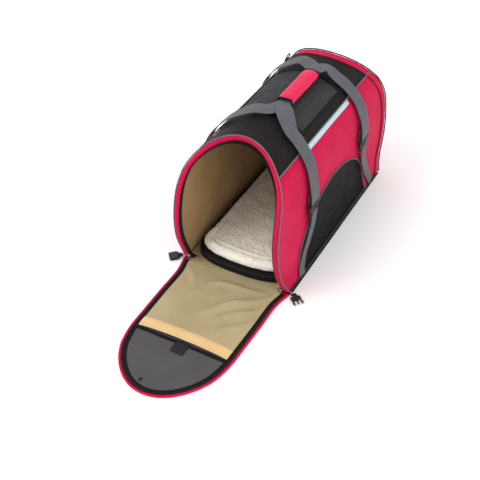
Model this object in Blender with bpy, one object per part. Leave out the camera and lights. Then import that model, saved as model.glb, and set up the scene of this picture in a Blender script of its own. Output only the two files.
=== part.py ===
"""Soft-sided pet carrier bag, its front door let down flat on the floor.

The bag stands on its base with the origin at the middle of the base, on the
floor. +X is the bag's right side, -Y its front (the open end), +Z up.

Every wall is cut from one skin: an arched outline, swept from the bowed front
rim to the bowed rear rim. A point of the skin is named by its run along the
outline from the right base edge, its place between the rims, and its offset
out of the skin.
"""
import math

import bmesh
import bpy
import numpy as np
from mathutils import Matrix, Vector

# ---- driving dimensions, metres ----
LENGTH = 0.512            # base, front edge to rear edge
HEIGHT = 0.345            # floor to the top of the arch
# half width of the outline at fractions of the height, up to the shoulder
HALF_WIDTHS = ((0.0, 0.137), (0.12, 0.1275), (0.30, 0.1270), (0.50, 0.1255),
               (0.66, 0.1235), (0.78, 0.1145), (0.85, 0.1010))
ARCH_ROUND, ARCH_TAPER = 0.290, 0.193    # roundness of the arch above the shoulder
SKIN_STEPS = 88           # steps along the whole outline
FRONT_LEAN, FRONT_BOW = 0.048, 0.0705    # rim set back at the top, bulge at mid height
REAR_LEAN, REAR_BOW = -0.056, 0.0700
SEAM_AT = 0.862           # height fraction of the roof seams

GAP = 0.0003              # clearance between neighbouring pieces
SKIN = 0.0024             # foam-backed wall fabric
LINING = 0.0012
BASE_THICK = 0.0030
WALL_START = 0.0048       # run along the outline where the walls begin
LINING_START = 0.0085

BAND_WIDTH = 0.0110       # binding round the front opening
TAPE_WIDTH = 0.0115       # zipper tape inside the binding, turned into the bag
RIM_THICK = 0.0022
GUSSET = 0.0240           # band round the rear end
CORD_R = 0.0014           # piping cord

WINDOW_HALF, WINDOW_TOP, WINDOW_FOOT = 0.186, 0.172, 0.0078
WINDOW_MID = -0.018

PAD_FRONT, PAD_REAR = -0.205, 0.246      # where the bowed front begins, and the rear
PAD_BOW, PAD_ROUND = 0.054, 2.6          # reach of the bowed front and its fullness
PAD_SIDE = 0.1160
PAD_BASE_THICK, PAD_THICK = 0.0180, 0.0220

DOOR_LENGTH = 0.388
DOOR_FOLDS = (0.117, 0.233)   # distance of the two folds from the hinge
HINGE_Y, HINGE_Z = -LENGTH / 2 - 0.0075, 0.0062
DOOR_Z = 0.0004               # underside of the door above the floor
DOOR_THICK = 0.0024
DOOR_TAPE = 0.0130
DOOR_EDGE = 0.0045            # piped edge outside the tape
DOOR_FRAME = 0.0200           # border round the door's mesh
HEM_WIDTH = 0.0150

STRAP_WIDTH, STRAP_THICK = 0.0380, 0.0016
LOWER_WIDTH, LOWER_THICK = 0.0250, 0.0014
WRAP_X, WRAP_Z = 0.022, 0.3600
WRAP_FRONT, WRAP_REAR = -0.064, 0.066
WRAP_WIDTH, WRAP_HEIGHT, WRAP_WALL = 0.0480, 0.0125, 0.0030
BAR_R = 0.0017                # bars of the strap adjusters
LOOP_R = 0.0036               # webbing loop's middle line round a bar
STRAP_STAND = 0.0135          # strap's stand-off from the wall at the adjusters

# ---- colours (linear RGB) ----
MAGENTA = (0.60, 0.006, 0.085)
BLACK = (0.012, 0.011, 0.011)
WEBBING = (0.155, 0.165, 0.180)
GREY = (0.155, 0.155, 0.155)
SILVER = (0.50, 0.58, 0.63)
BEIGE = (0.40, 0.32, 0.20)
TAN = (0.62, 0.48, 0.27)
FLEECE = (0.56, 0.48, 0.38)
MESH = (0.030, 0.030, 0.032)
PLASTIC = (0.020, 0.020, 0.021)
STEEL = (0.60, 0.60, 0.58)


# ---------------------------------------------------------------- materials
def material(name, colour, roughness=0.8, metallic=0.0):
    """A Principled material, made once."""
    mat = bpy.data.materials.get(name)
    if mat is None:
        mat = bpy.data.materials.new(name)
        mat.use_nodes = True
        shader = mat.node_tree.nodes["Principled BSDF"]
        shader.inputs["Base Color"].default_value = (*colour, 1.0)
        shader.inputs["Roughness"].default_value = roughness
        shader.inputs["Metallic"].default_value = metallic
    return mat


def make_materials():
    """The bag's materials by short name."""
    return {
        "magenta": material("magenta_nylon", MAGENTA, 0.75),
        "black": material("black_nylon", BLACK, 0.7),
        "webbing": material("grey_webbing", WEBBING, 0.8),
        "piping": material("grey_piping", GREY, 0.6),
        "silver": material("reflective_tape", SILVER, 0.35),
        "beige": material("beige_lining", BEIGE, 0.85),
        "tan": material("tan_hem", TAN, 0.85),
        "fleece": material("fleece", FLEECE, 0.95),
        "mesh": material("mesh_fabric", MESH, 0.8),
        "plastic": material("buckle_plastic", PLASTIC, 0.4),
        "steel": material("zinc_alloy", STEEL, 0.3, 1.0),
    }


# ---------------------------------------------------------------- the skin
def catmull(points, per_span):
    """A smooth curve through points, with per_span steps between neighbours."""
    pts = [np.asarray(p, float) for p in points]
    pts = [2 * pts[0] - pts[1]] + pts + [2 * pts[-1] - pts[-2]]
    out = []
    for i in range(1, len(pts) - 2):
        p0, p1, p2, p3 = pts[i - 1:i + 3]
        for k in range(per_span):
            t = k / per_span
            out.append(0.5 * (2 * p1 + (p2 - p0) * t + (2 * p0 - 5 * p1 + 4 * p2 - p3) * t * t
                              + (3 * p1 - p0 - 3 * p2 + p3) * t ** 3))
    out.append(pts[-2])
    return np.array(out)


class Skin:
    """The bag's outline in the X-Z plane and the two bowed rims."""

    def __init__(self):
        side = [(w, t * HEIGHT) for t, w in HALF_WIDTHS]
        shoulder_t = HALF_WIDTHS[-1][0]
        arch = []
        for k in range(1, 7):
            left = (1 - shoulder_t) * math.cos(k / 6 * math.pi / 2) ** 2
            w = (ARCH_ROUND - ARCH_TAPER * left) * math.sqrt(left)
            arch.append((w, (1 - left) * HEIGHT))
        half = side + arch
        full = half + [(-x, z) for x, z in reversed(half[:-1])]
        curve = catmull(full, 12)
        steps = np.hypot(*np.diff(curve, axis=0).T)
        self.run = np.concatenate([[0.0], np.cumsum(steps)])
        self.curve = curve
        self.total = float(self.run[-1])
        self.seam = self.run_at_height(SEAM_AT * HEIGHT)
        grid = list(np.linspace(0, self.total, SKIN_STEPS + 1))
        for seam in (self.seam, self.total - self.seam):
            grid = [s for s in grid if abs(s - seam) > 0.003]
            grid += [seam - GAP / 2, seam + GAP / 2]
        self.grid = sorted(grid)

    def samples(self, start, end):
        """Runs from start to end that every layer of the skin shares between them."""
        inner = [s for s in self.grid if start + 0.0012 < s < end - 0.0012]
        return [start, *inner, end]

    def run_at_height(self, z):
        """Run along the right half of the outline at height z."""
        half = len(self.curve) // 2 + 1
        return float(np.interp(z, self.curve[:half, 1], self.run[:half]))

    def run_at_x(self, x):
        """Run along the arch at x, between the shoulders."""
        lo, hi = self.seam, self.total - self.seam
        inside = (self.run > lo) & (self.run < hi)
        return float(np.interp(-x, -self.curve[inside, 0], self.run[inside]))

    def section(self, s):
        """Point and outward normal of the outline at run s."""
        h = 0.0015
        at = [np.array([np.interp(v, self.run, self.curve[:, i]) for i in (0, 1)])
              for v in (s, max(0.0, s - h), min(self.total, s + h))]
        tangent = at[2] - at[1]
        tangent /= np.linalg.norm(tangent)
        return at[0], np.array([tangent[1], -tangent[0]])

    def front(self, z):
        """Y of the front rim at height z."""
        t = z / HEIGHT
        return -LENGTH / 2 + FRONT_LEAN * t - FRONT_BOW * 4 * t * (1 - t)

    def rear(self, z):
        """Y of the rear rim at height z."""
        t = z / HEIGHT
        return LENGTH / 2 + REAR_LEAN * t + REAR_BOW * 4 * t * (1 - t)

    def point(self, s, y_of_z, offset=0.0):
        """Point at run s, at the y that y_of_z gives for its height, offset out."""
        p, n = self.section(s)
        q = p + n * offset
        return Vector((q[0], y_of_z(p[1]), q[1]))


SKIN_FORM = Skin()


def from_front(distance):
    """Y law of a line a fixed distance behind the front rim."""
    return lambda z: SKIN_FORM.front(z) + distance


def from_rear(distance):
    """Y law of a line a fixed distance before the rear rim."""
    return lambda z: SKIN_FORM.rear(z) - distance


def fixed_y(y):
    """Y law of a line at one y."""
    return lambda z: y


def half_width(t):
    """Half width of the outline at height fraction t."""
    half = len(SKIN_FORM.curve) // 2 + 1
    return float(np.interp(t * HEIGHT, SKIN_FORM.curve[:half, 1], SKIN_FORM.curve[:half, 0]))


# ---------------------------------------------------------------- mesh tools
def add_object(name, bm, mat, origin=(0.0, 0.0, 0.0), smooth=True):
    """Turn a bmesh in world coordinates into an object with the given origin."""
    bmesh.ops.recalc_face_normals(bm, faces=bm.faces)
    if bm.calc_volume(signed=True) < 0:
        bmesh.ops.reverse_faces(bm, faces=bm.faces)
    origin = Vector(origin)
    bmesh.ops.translate(bm, vec=-origin, verts=bm.verts)
    mesh = bpy.data.meshes.new(name)
    bm.to_mesh(mesh)
    bm.free()
    if smooth:
        mesh.shade_smooth()
        mesh.set_sharp_from_angle(angle=math.radians(40))
    mesh.materials.append(mat)
    obj = bpy.data.objects.new(name, mesh)
    obj.location = origin
    bpy.context.collection.objects.link(obj)
    return obj


def slab(grid_top, grid_bottom):
    """A closed solid between two grids of points with the same rows and columns."""
    bm = bmesh.new()
    rows, cols = len(grid_top), len(grid_top[0])
    top = [[bm.verts.new(p) for p in row] for row in grid_top]
    bot = [[bm.verts.new(p) for p in row] for row in grid_bottom]
    for i in range(rows - 1):
        for j in range(cols - 1):
            bm.faces.new((top[i][j], top[i][j + 1], top[i + 1][j + 1], top[i + 1][j]))
            bm.faces.new((bot[i][j], bot[i + 1][j], bot[i + 1][j + 1], bot[i][j + 1]))
    rim = ([(0, j) for j in range(cols)] + [(i, cols - 1) for i in range(1, rows)]
           + [(rows - 1, j) for j in range(cols - 2, -1, -1)]
           + [(i, 0) for i in range(rows - 2, 0, -1)])
    for (a, b), (c, d) in zip(rim, rim[1:] + rim[:1]):
        bm.faces.new((top[a][b], bot[a][b], bot[c][d], top[c][d]))
    return bm


def skin_patch(s_range, y_laws, offsets, steps=6):
    """A patch of the skin between two runs and two y laws, with real thickness."""
    grids = []
    for offset in offsets:
        grid = []
        for s in SKIN_FORM.samples(*s_range):
            z = SKIN_FORM.section(s)[0][1]
            ends = [law(z) for law in y_laws]
            grid.append([SKIN_FORM.point(s, fixed_y(y), offset)
                         for y in np.linspace(*ends, steps + 1)])
        grids.append(grid)
    return slab(*grids)


def rim_ring(depths, y_law, thick, s_start):
    """A flat ring that faces along Y, inside the outline by depths[0] to depths[1]."""
    grids = []
    for shift in (0.0, thick):
        grids.append([[SKIN_FORM.point(s, lambda z: y_law(z) + shift, -d) for d in depths]
                      for s in SKIN_FORM.samples(s_start, SKIN_FORM.total - s_start)])
    return slab(*grids)


def tube(path, radius, sides=6):
    """A capped tube along a path of points."""
    bm = bmesh.new()
    path = [Vector(p) for p in path]
    rings = []
    up = None
    for i, p in enumerate(path):
        t = (path[min(i + 1, len(path) - 1)] - path[max(i - 1, 0)]).normalized()
        if up is None:
            up = t.orthogonal().normalized()
        up = (up - t * up.dot(t)).normalized()
        side = t.cross(up)
        rings.append([bm.verts.new(p + radius * (math.cos(a) * up + math.sin(a) * side))
                      for a in (2 * math.pi * k / sides for k in range(sides))])
    for a, b in zip(rings, rings[1:]):
        for k in range(sides):
            bm.faces.new((a[k], a[(k + 1) % sides], b[(k + 1) % sides], b[k]))
    bm.faces.new(rings[0][::-1])
    bm.faces.new(rings[-1])
    return bm


def ribbon(stations, width, thick):
    """A flat strap through stations of (point, direction across its width)."""
    bm = bmesh.new()
    rings = []
    for i, (p, across) in enumerate(stations):
        a = stations[max(i - 1, 0)][0]
        b = stations[min(i + 1, len(stations) - 1)][0]
        t = (b - a).normalized()
        across = (across - t * across.dot(t)).normalized()
        normal = t.cross(across)
        rings.append([bm.verts.new(p + across * (u * width / 2) + normal * (v * thick / 2))
                      for u, v in ((-1, -1), (1, -1), (1, 1), (-1, 1))])
    for a, b in zip(rings, rings[1:]):
        for k in range(4):
            bm.faces.new((a[k], a[(k + 1) % 4], b[(k + 1) % 4], b[k]))
    bm.faces.new(rings[0][::-1])
    bm.faces.new(rings[-1])
    return bm


def prism(outline, z0, z1):
    """An upright prism on an outline of (x, y) points, given anticlockwise."""
    bm = bmesh.new()
    low = [bm.verts.new((x, y, z0)) for x, y in outline]
    high = [bm.verts.new((x, y, z1)) for x, y in outline]
    bm.faces.new(low[::-1])
    bm.faces.new(high)
    n = len(outline)
    for k in range(n):
        bm.faces.new((low[k], low[(k + 1) % n], high[(k + 1) % n], high[k]))
    return bm


def cell_plate(xs, ys, solid, thick):
    """A plate of rectangular cells, solid where solid(i, j), centred on z = 0."""
    bm = bmesh.new()
    verts = {}

    def corner(i, j):
        if (i, j) not in verts:
            verts[i, j] = bm.verts.new((xs[i], ys[j], -thick / 2))
        return verts[i, j]

    faces = [bm.faces.new((corner(i, j), corner(i + 1, j), corner(i + 1, j + 1), corner(i, j + 1)))
             for i in range(len(xs) - 1) for j in range(len(ys) - 1) if solid(i, j)]
    lifted = bmesh.ops.extrude_face_region(bm, geom=faces)
    top = [v for v in lifted["geom"] if isinstance(v, bmesh.types.BMVert)]
    bmesh.ops.translate(bm, vec=(0, 0, thick), verts=top)
    return bm


def place(bm, centre, x_axis, y_axis):
    """Move a bmesh built about the origin to a centre with the given axes."""
    x = Vector(x_axis).normalized()
    y = (Vector(y_axis) - x * x.dot(Vector(y_axis))).normalized()
    turn = Matrix((x, y, x.cross(y))).transposed().to_4x4()
    bm.transform(Matrix.Translation(Vector(centre)) @ turn)
    return bm


def cut(obj, bm_cutter, name, operation="DIFFERENCE"):
    """Add an exact boolean with a hidden wire cutter and leave it live."""
    cutter = add_object(name, bm_cutter, obj.data.materials[0], smooth=False)
    cutter.hide_render = True
    cutter.display_type = "WIRE"
    mod = obj.modifiers.new(name, "BOOLEAN")
    mod.operation = operation
    mod.solver = "EXACT"
    mod.object = cutter


def window_prism(grow):
    """Arch-shaped cutter through the right side wall, grown outward by grow."""
    arch = []
    for k in range(25):
        a = math.pi * k / 24
        arch.append((WINDOW_MID + (WINDOW_HALF + grow) * math.cos(a),
                     WINDOW_FOOT - grow
                     + (WINDOW_TOP - WINDOW_FOOT + 2 * grow) * math.sin(a) ** 0.9))
    bm = prism(arch, 0.0, 0.08)
    bm.transform(Matrix(((0, 0, 1, 0.085), (1, 0, 0, 0), (0, 1, 0, 0), (0, 0, 0, 1))))
    bmesh.ops.recalc_face_normals(bm, faces=bm.faces)
    return bm


# ---------------------------------------------------------------- bag body
def runs(sign, start, end):
    """The run range on the right (+1) or, mirrored, on the left (-1)."""
    total = SKIN_FORM.total
    return (start, end) if sign > 0 else (total - end, total - start)


def build_walls(mats):
    """Side walls, the mesh window in the right one, roof, rear band, lining, rear wall."""
    seam = SKIN_FORM.seam
    body = (from_front(RIM_THICK + GAP), from_rear(GUSSET + GAP))
    for sign, side in ((1, "right"), (-1, "left")):
        wall = add_object(f"side_panel_{side}", skin_patch(
            runs(sign, WALL_START, seam - GAP / 2), body, (0.0, -SKIN), 8),
            mats["magenta"])
        if sign > 0:
            cut(wall, window_prism(0.0), "cutter_window")
    mesh = add_object("window_mesh", skin_patch(
        (WALL_START, seam - 0.08), body, (-0.0007, -0.0016), 6), mats["mesh"])
    cut(mesh, window_prism(-0.0004), "cutter_mesh", "INTERSECT")
    path = []
    for k in range(31):
        a = math.pi * k / 30
        y = WINDOW_MID + (WINDOW_HALF + 0.001) * math.cos(a)
        z = WINDOW_FOOT + (WINDOW_TOP + 0.001 - WINDOW_FOOT) * math.sin(a) ** 0.9
        path.append(SKIN_FORM.point(SKIN_FORM.run_at_height(z), fixed_y(y),
                                    CORD_R + GAP + 0.0002))
    add_object("window_piping", tube(path, CORD_R), mats["piping"])

    total = SKIN_FORM.total
    add_object("roof_panel", skin_patch(
        (seam + GAP / 2, total - seam - GAP / 2), body, (0.0, -SKIN), 8), mats["black"])
    add_object("roof_mesh_panel", skin_patch(
        (SKIN_FORM.run_at_x(0.082), SKIN_FORM.run_at_x(-0.082)),
        (fixed_y(-0.100), fixed_y(0.092)), (0.0014, GAP), 2), mats["mesh"])
    add_object("rear_gusset", skin_patch(
        (WALL_START, total - WALL_START), (from_rear(GUSSET), from_rear(RIM_THICK / 2 + 3 * GAP)),
        (0.0, -SKIN), 1), mats["magenta"])
    lining = add_object("lining_shell", skin_patch(
        (LINING_START, total - LINING_START),
        (from_front(RIM_THICK + GAP), from_rear(0.004)),
        (-SKIN - GAP, -SKIN - GAP - LINING), 8), mats["beige"])
    cut(lining, window_prism(0.0), "cutter_lining")

    for name, y_law, thick, inset, start, mat in (
            ("rear_panel", from_rear(RIM_THICK / 2), RIM_THICK, GAP, WALL_START, "magenta"),
            ("rear_lining", from_rear(0.0036), LINING, 0.0046, LINING_START, "beige")):
        bm = bmesh.new()
        loops = []
        for shift in (0.0, thick):
            loops.append([bm.verts.new(SKIN_FORM.point(s, lambda z: y_law(z) + shift, -inset))
                          for s in SKIN_FORM.samples(start, total - start)])
        for loop in loops:
            for k in range(len(loop) // 2):
                a, b, c, d = loop[k], loop[k + 1], loop[-2 - k], loop[-1 - k]
                bm.faces.new((a, b, c, d) if b is not c else (a, b, d))
        n = len(loops[0])
        for k in range(n):
            bm.faces.new((loops[0][k], loops[0][(k + 1) % n], loops[1][(k + 1) % n], loops[1][k]))
        add_object(name, bm, mats[mat])


def build_rims(mats):
    """Binding, zipper tape and piping round the ends, roof and base."""
    total, seam = SKIN_FORM.total, SKIN_FORM.seam
    add_object("front_binding", rim_ring(
        (0.0, BAND_WIDTH), from_front(0.0), RIM_THICK, 0.0085), mats["magenta"])
    add_object("front_zipper_tape", skin_patch(
        (0.0125, total - 0.0125), (from_front(0.0006), from_front(0.0006 + TAPE_WIDTH)),
        (-BAND_WIDTH - GAP, -BAND_WIDTH - GAP - 0.0012), 1), mats["black"])
    span = SKIN_FORM.samples(0.0035, total - 0.0035)
    add_object("front_piping", tube(
        [SKIN_FORM.point(s, from_front(0.0012), CORD_R + 0.0004) for s in span], CORD_R),
        mats["piping"])
    add_object("rear_piping", tube(
        [SKIN_FORM.point(s, from_rear(0.0004), CORD_R + 0.0004) for s in span], CORD_R),
        mats["black"])
    for sign, side in ((1, "right"), (-1, "left")):
        s = runs(sign, seam, seam)[0]
        z = SEAM_AT * HEIGHT
        ys = np.linspace(SKIN_FORM.front(z) + 0.0035, SKIN_FORM.rear(z) - 0.0030, 14)
        add_object(f"roof_piping_{side}", tube(
            [SKIN_FORM.point(s, fixed_y(y), CORD_R + 0.0004) for y in ys], CORD_R),
            mats["piping"])
        add_object(f"reflective_strip_{side}", skin_patch(
            runs(sign, seam - 0.0130, seam - 0.0020), (fixed_y(-0.112), fixed_y(0.098)),
            (0.0008, GAP), 4), mats["silver"])
        x = sign * (HALF_WIDTHS[0][1] + CORD_R + 0.0004)
        ys = np.linspace(-LENGTH / 2 + 0.004, LENGTH / 2 - 0.004, 12)
        add_object(f"base_piping_{side}", tube(
            [(x, y, CORD_R + 0.0004) for y in ys], CORD_R), mats["black"])


def rounded_rectangle(x, y0, y1, r, steps=5):
    """Outline of a rectangle with rounded corners, from -x to x and y0 to y1."""
    out = []
    for cx, cy, a0 in ((x - r, y0 + r, -90), (x - r, y1 - r, 0), (r - x, y1 - r, 90),
                       (r - x, y0 + r, 180)):
        for k in range(steps + 1):
            a = math.radians(a0 + 90 * k / steps)
            out.append((cx + r * math.cos(a), cy + r * math.sin(a)))
    return out


def bed_outline(inset, steps=18):
    """Outline of the bed: a bowed front, straight sides and rounded rear corners."""
    out = []
    for k in range(steps + 1):
        a = math.pi + math.pi * k / steps
        c, s = math.cos(a), math.sin(a)
        out.append((math.copysign(abs(c) ** (2 / PAD_ROUND), c) * (PAD_SIDE - inset),
                    PAD_FRONT - abs(s) ** (2 / PAD_ROUND) * (PAD_BOW - inset)))
    r = 0.030
    for cx, a0 in ((PAD_SIDE - r, 0), (r - PAD_SIDE, 90)):
        for k in range(6):
            a = math.radians(a0 + 18 * k)
            out.append((cx + (r - inset) * math.cos(a), PAD_REAR - r + (r - inset) * math.sin(a)))
    return out


def build_floor(mats):
    """Base panel, floor lining and the fleece bed on its bolster base."""
    half = HALF_WIDTHS[0][1]
    add_object("base_panel", prism(rounded_rectangle(
        half - GAP, HINGE_Y + 0.0006, LENGTH / 2, 0.004), 0.0, BASE_THICK), mats["black"])
    add_object("floor_lining", prism(rounded_rectangle(
        half - 0.0070, -LENGTH / 2 + 0.003, LENGTH / 2 - 0.006, 0.010),
        BASE_THICK + GAP, BASE_THICK + GAP + LINING), mats["beige"])
    z = BASE_THICK + LINING + 2 * GAP
    add_object("pad_base", prism(bed_outline(0.0), z, z + PAD_BASE_THICK), mats["black"])
    z += PAD_BASE_THICK + GAP
    bm = bmesh.new()
    levels = ((z, 0.0), (z + PAD_THICK * 0.5, -0.001), (z + PAD_THICK * 0.8, 0.003),
              (z + PAD_THICK, 0.011))
    rings = [[bm.verts.new((x, y, h)) for x, y in bed_outline(d)] for h, d in levels]
    for a, b in zip(rings, rings[1:]):
        for k in range(len(a)):
            bm.faces.new((a[k], a[(k + 1) % len(a)], b[(k + 1) % len(a)], b[k]))
    bm.faces.new(rings[0][::-1])
    bm.faces.new(rings[-1])
    add_object("fleece_pad", bm, mats["fleece"])


# ---------------------------------------------------------------- handles
def strap_frame(s, y, offset):
    """Point of a strap on the skin, with the skin's normal."""
    p = SKIN_FORM.point(s, fixed_y(y), offset)
    n = SKIN_FORM.section(s)[1]
    return p, Vector((n[0], 0.0, n[1]))


def smooth_stations(points, normals, per_span=4):
    """Stations of a ribbon whose face follows the normals along a smooth path."""
    path = catmull(points, per_span)
    faces = catmull(normals, per_span)
    out = []
    for i, p in enumerate(path):
        t = Vector(path[min(i + 1, len(path) - 1)] - path[max(i - 1, 0)]).normalized()
        out.append((Vector(p), t.cross(Vector(faces[i])).normalized()))
    return out


def loop_back(end, direction, normal, across, tail, steps=6):
    """Stations that turn a strap round a bar and bring it back behind itself."""
    out = []
    centre = end - normal * LOOP_R
    for k in range(1, steps + 1):
        a = math.pi * k / steps
        out.append((centre + normal * (LOOP_R * math.cos(a))
                    + direction * (LOOP_R * math.sin(a)), across))
    last = out[-1][0]
    out.append((last - direction * tail * 0.5, across))
    out.append((last - direction * tail, across))
    return out


def leg_points(sign, end):
    """Skin places (run, y, offset) of a strap from its adjuster to the handle."""
    foot_y, shoulder_y, turn_y = ((-0.147, -0.142, -0.110) if end < 0
                                  else (0.131, 0.126, 0.108))
    runs_at = SKIN_FORM.run_at_height
    total = SKIN_FORM.total
    right = lambda s: s if sign > 0 else total - s
    side = [(right(runs_at(0.184)), foot_y, STRAP_STAND),
            (right(runs_at(0.205)), foot_y, STRAP_STAND),
            (right(runs_at(0.235)), foot_y + 0.001, 0.0110),
            (right(runs_at(0.264)), shoulder_y, 0.0095),
            (right(runs_at(0.288)), shoulder_y + 0.003 * -end, 0.0090)]
    roof = [(0.084, 0.0090), (0.062, 0.0110)]
    side += [(SKIN_FORM.run_at_x(sign * x), shoulder_y - end * (0.007 + 0.25 * (0.084 - x)), off)
             for x, off in roof]
    return side, turn_y


def build_strap(mats, sign, side, layer_z):
    """One webbing loop: adjuster, over the shoulder, through the handle and back."""
    halves = []
    for end in (-1, 1):
        places, turn_y = leg_points(sign, end)
        points, normals = [], []
        for s, y, off in places:
            p, n = strap_frame(s, y, off)
            points.append(p)
            normals.append(n)
        reach = WRAP_FRONT if end < 0 else WRAP_REAR
        up = Vector((0, 0, 1))
        for dx, dy, dz in ((0.019, 0.040, -0.002), (0.005, 0.021, 0.0), (0.0, 0.003, 0.0)):
            points.append(Vector((WRAP_X + sign * dx, reach + end * dy, layer_z + dz)))
            normals.append(up)
        if sign < 0:
            far = Vector((-0.028, reach + end * 0.052, layer_z - 0.002))
            points.insert(len(places), far)
            normals.insert(len(places), Vector((-0.05, 0, 1)).normalized())
        stations = smooth_stations(points, normals)
        first = stations[0][0]
        down = (stations[0][0] - stations[1][0]).normalized()
        normal = normals[0].normalized()
        across = stations[0][1]
        tail = loop_back(first, down, normal, across, 0.026)
        halves.append(tail[::-1] + stations)
    back = [(p, -w) for p, w in reversed(halves[1])]
    across = halves[0][-1][1]
    back = [(p, w if w.dot(across) > 0 or i > 6 else -w) for i, (p, w) in enumerate(back)]
    fixed, last = [], across
    for p, w in back:
        w = w if w.dot(last) > 0 else -w
        fixed.append((p, w))
        last = w
    add_object(f"strap_{side}", ribbon(halves[0] + fixed, STRAP_WIDTH, STRAP_THICK),
               mats["webbing"])


def build_adjuster(mats, sign, side, end, place_name):
    """A ladder-lock adjuster and the narrow webbing from it down to the base."""
    places, _ = leg_points(sign, end)
    foot_y = places[0][1]
    s_top = places[0][0]
    top, normal = strap_frame(s_top, foot_y, STRAP_STAND)
    ahead, _ = strap_frame(places[1][0], foot_y, STRAP_STAND)
    down = (top - ahead).normalized()
    bar = top - normal * LOOP_R
    total = SKIN_FORM.total
    run = lambda z: SKIN_FORM.run_at_height(z) if sign > 0 else total - SKIN_FORM.run_at_height(z)
    frame_long = 0.027
    xs = [-0.0240, -0.0203, -0.0140, 0.0140, 0.0203, 0.0240]
    r = BAR_R
    ys = [-r, r, 0.0075, frame_long - 0.011, frame_long - r, frame_long + r]

    def solid(i, j):
        if j == 0:
            return True
        if j == 1:
            return i in (0, 4)
        if j == 2:
            return i in (0, 1, 2, 3, 4)
        if j == 3:
            return i in (1, 3)
        return i in (1, 2, 3)

    bm = cell_plate(xs, ys, solid, 2 * r)
    across = down.cross(normal).normalized()
    place(bm, bar, across, down)
    add_object(f"adjuster_{place_name}", bm, mats["plastic"], smooth=False)

    low_bar = bar + down * frame_long
    lower_top = low_bar + normal * LOOP_R
    points, normals = [lower_top], [normal]
    reach = end * 0.200
    for z, f, off in ((0.120, 0.10, 0.0105), (0.090, 0.36, 0.0085), (0.055, 0.68, 0.0064),
                      (0.026, 0.93, 0.0050), (0.0105, 1.0, 0.0045)):
        p, n = strap_frame(run(z), foot_y + (reach - foot_y) * f, off)
        points.append(p)
        normals.append(n)
    stations = smooth_stations(points, normals)
    stations[0] = (stations[0][0], across if stations[0][1].dot(across) > 0 else -across)
    tail = loop_back(lower_top, -down, normal, stations[0][1], 0.0130)
    tail = [(p, w) for p, w in tail[::-1]]
    add_object(f"lower_strap_{place_name}", ribbon(tail + stations, LOWER_WIDTH, LOWER_THICK),
               mats["webbing"])


def build_handles(mats):
    """Both webbing loops, their adjusters and the padded wrap that joins them."""
    build_strap(mats, 1, "right", WRAP_Z + 0.0013)
    build_strap(mats, -1, "left", WRAP_Z - 0.0013)
    for sign, side in ((1, "right"), (-1, "left")):
        build_adjuster(mats, sign, side, -1, f"front_{side}")
        build_adjuster(mats, sign, side, 1, f"rear_{side}")
    bm = bmesh.new()
    rings = []
    a, h = WRAP_WIDTH / 2, WRAP_HEIGHT / 2
    inner = (a - WRAP_WALL, h - WRAP_WALL)
    for y in np.linspace(WRAP_FRONT, WRAP_REAR, 3):
        outer, hole = [], []
        for k in range(20):
            ang = 2 * math.pi * (k + 0.5) / 20
            c, s = math.cos(ang), math.sin(ang)
            cx = math.copysign(abs(c) ** 0.35, c)
            sz = math.copysign(abs(s) ** 0.55, s)
            outer.append(bm.verts.new((WRAP_X + a * cx, y, WRAP_Z + h * sz)))
            hole.append(bm.verts.new((WRAP_X + inner[0] * math.copysign(abs(c) ** 0.2, c), y,
                                      WRAP_Z + inner[1] * math.copysign(abs(s) ** 0.2, s))))
        rings.append((outer, hole))
    for (o1, h1), (o2, h2) in zip(rings, rings[1:]):
        for k in range(20):
            m = (k + 1) % 20
            bm.faces.new((o1[k], o1[m], o2[m], o2[k]))
            bm.faces.new((h1[m], h1[k], h2[k], h2[m]))
    for outer, hole in (rings[0], rings[-1]):
        for k in range(20):
            m = (k + 1) % 20
            bm.faces.new((outer[k], hole[k], hole[m], outer[m]))
    add_object("handle_wrap", bm, mats["magenta"], (WRAP_X, 0.001, WRAP_Z))


# ---------------------------------------------------------------- door
def door_half(a):
    """Half width of the door at distance a from its hinge."""
    ts = np.linspace(0, 1, 200)
    ys = np.array([SKIN_FORM.front(t * HEIGHT) for t in ts])
    arc = np.concatenate([[0], np.cumsum(np.hypot(np.diff(ys), np.diff(ts * HEIGHT)))])
    t = float(np.interp(a * arc[-1] / DOOR_LENGTH, arc, ts))
    return half_width(t)


def door_strip(a0, a1, side_inset, z0, z1, steps=8):
    """Closed slab across the door from a0 to a1, inset at its sides."""
    grids = []
    for z in (z1, z0):
        grid = []
        for a in np.linspace(a0, a1, steps + 1):
            w = max(0.0015, door_half(a) - side_inset)
            grid.append([Vector((x, HINGE_Y - a, z)) for x in (-w, 0.0, w)])
        grids.append(grid)
    return slab(*grids)


def door_outline(inset, a_start, steps=20):
    """Right-hand edge of the door from a_start to its tip, inset all round."""
    edge = [np.array((door_half(a), a)) for a in np.linspace(a_start, DOOR_LENGTH - 1e-4, 300)]
    edge.append(np.array((0.0, DOOR_LENGTH)))
    edge = np.array(edge)
    run = np.concatenate([[0], np.cumsum(np.hypot(*np.diff(edge, axis=0).T))])
    out = []
    for s in np.linspace(0, run[-1], steps + 1):
        p = np.array([np.interp(s, run, edge[:, i]) for i in (0, 1)])
        q = np.array([np.interp(min(run[-1], s + 0.002), run, edge[:, i]) for i in (0, 1)])
        o = np.array([np.interp(max(0.0, s - 0.002), run, edge[:, i]) for i in (0, 1)])
        t = (q - o) / np.linalg.norm(q - o)
        n = np.array((-t[1], t[0])) if s < run[-1] - 1e-6 else np.array((0.0, -1.0))
        out.append(p + n * inset)
    out[0][1] = a_start
    return out


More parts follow.
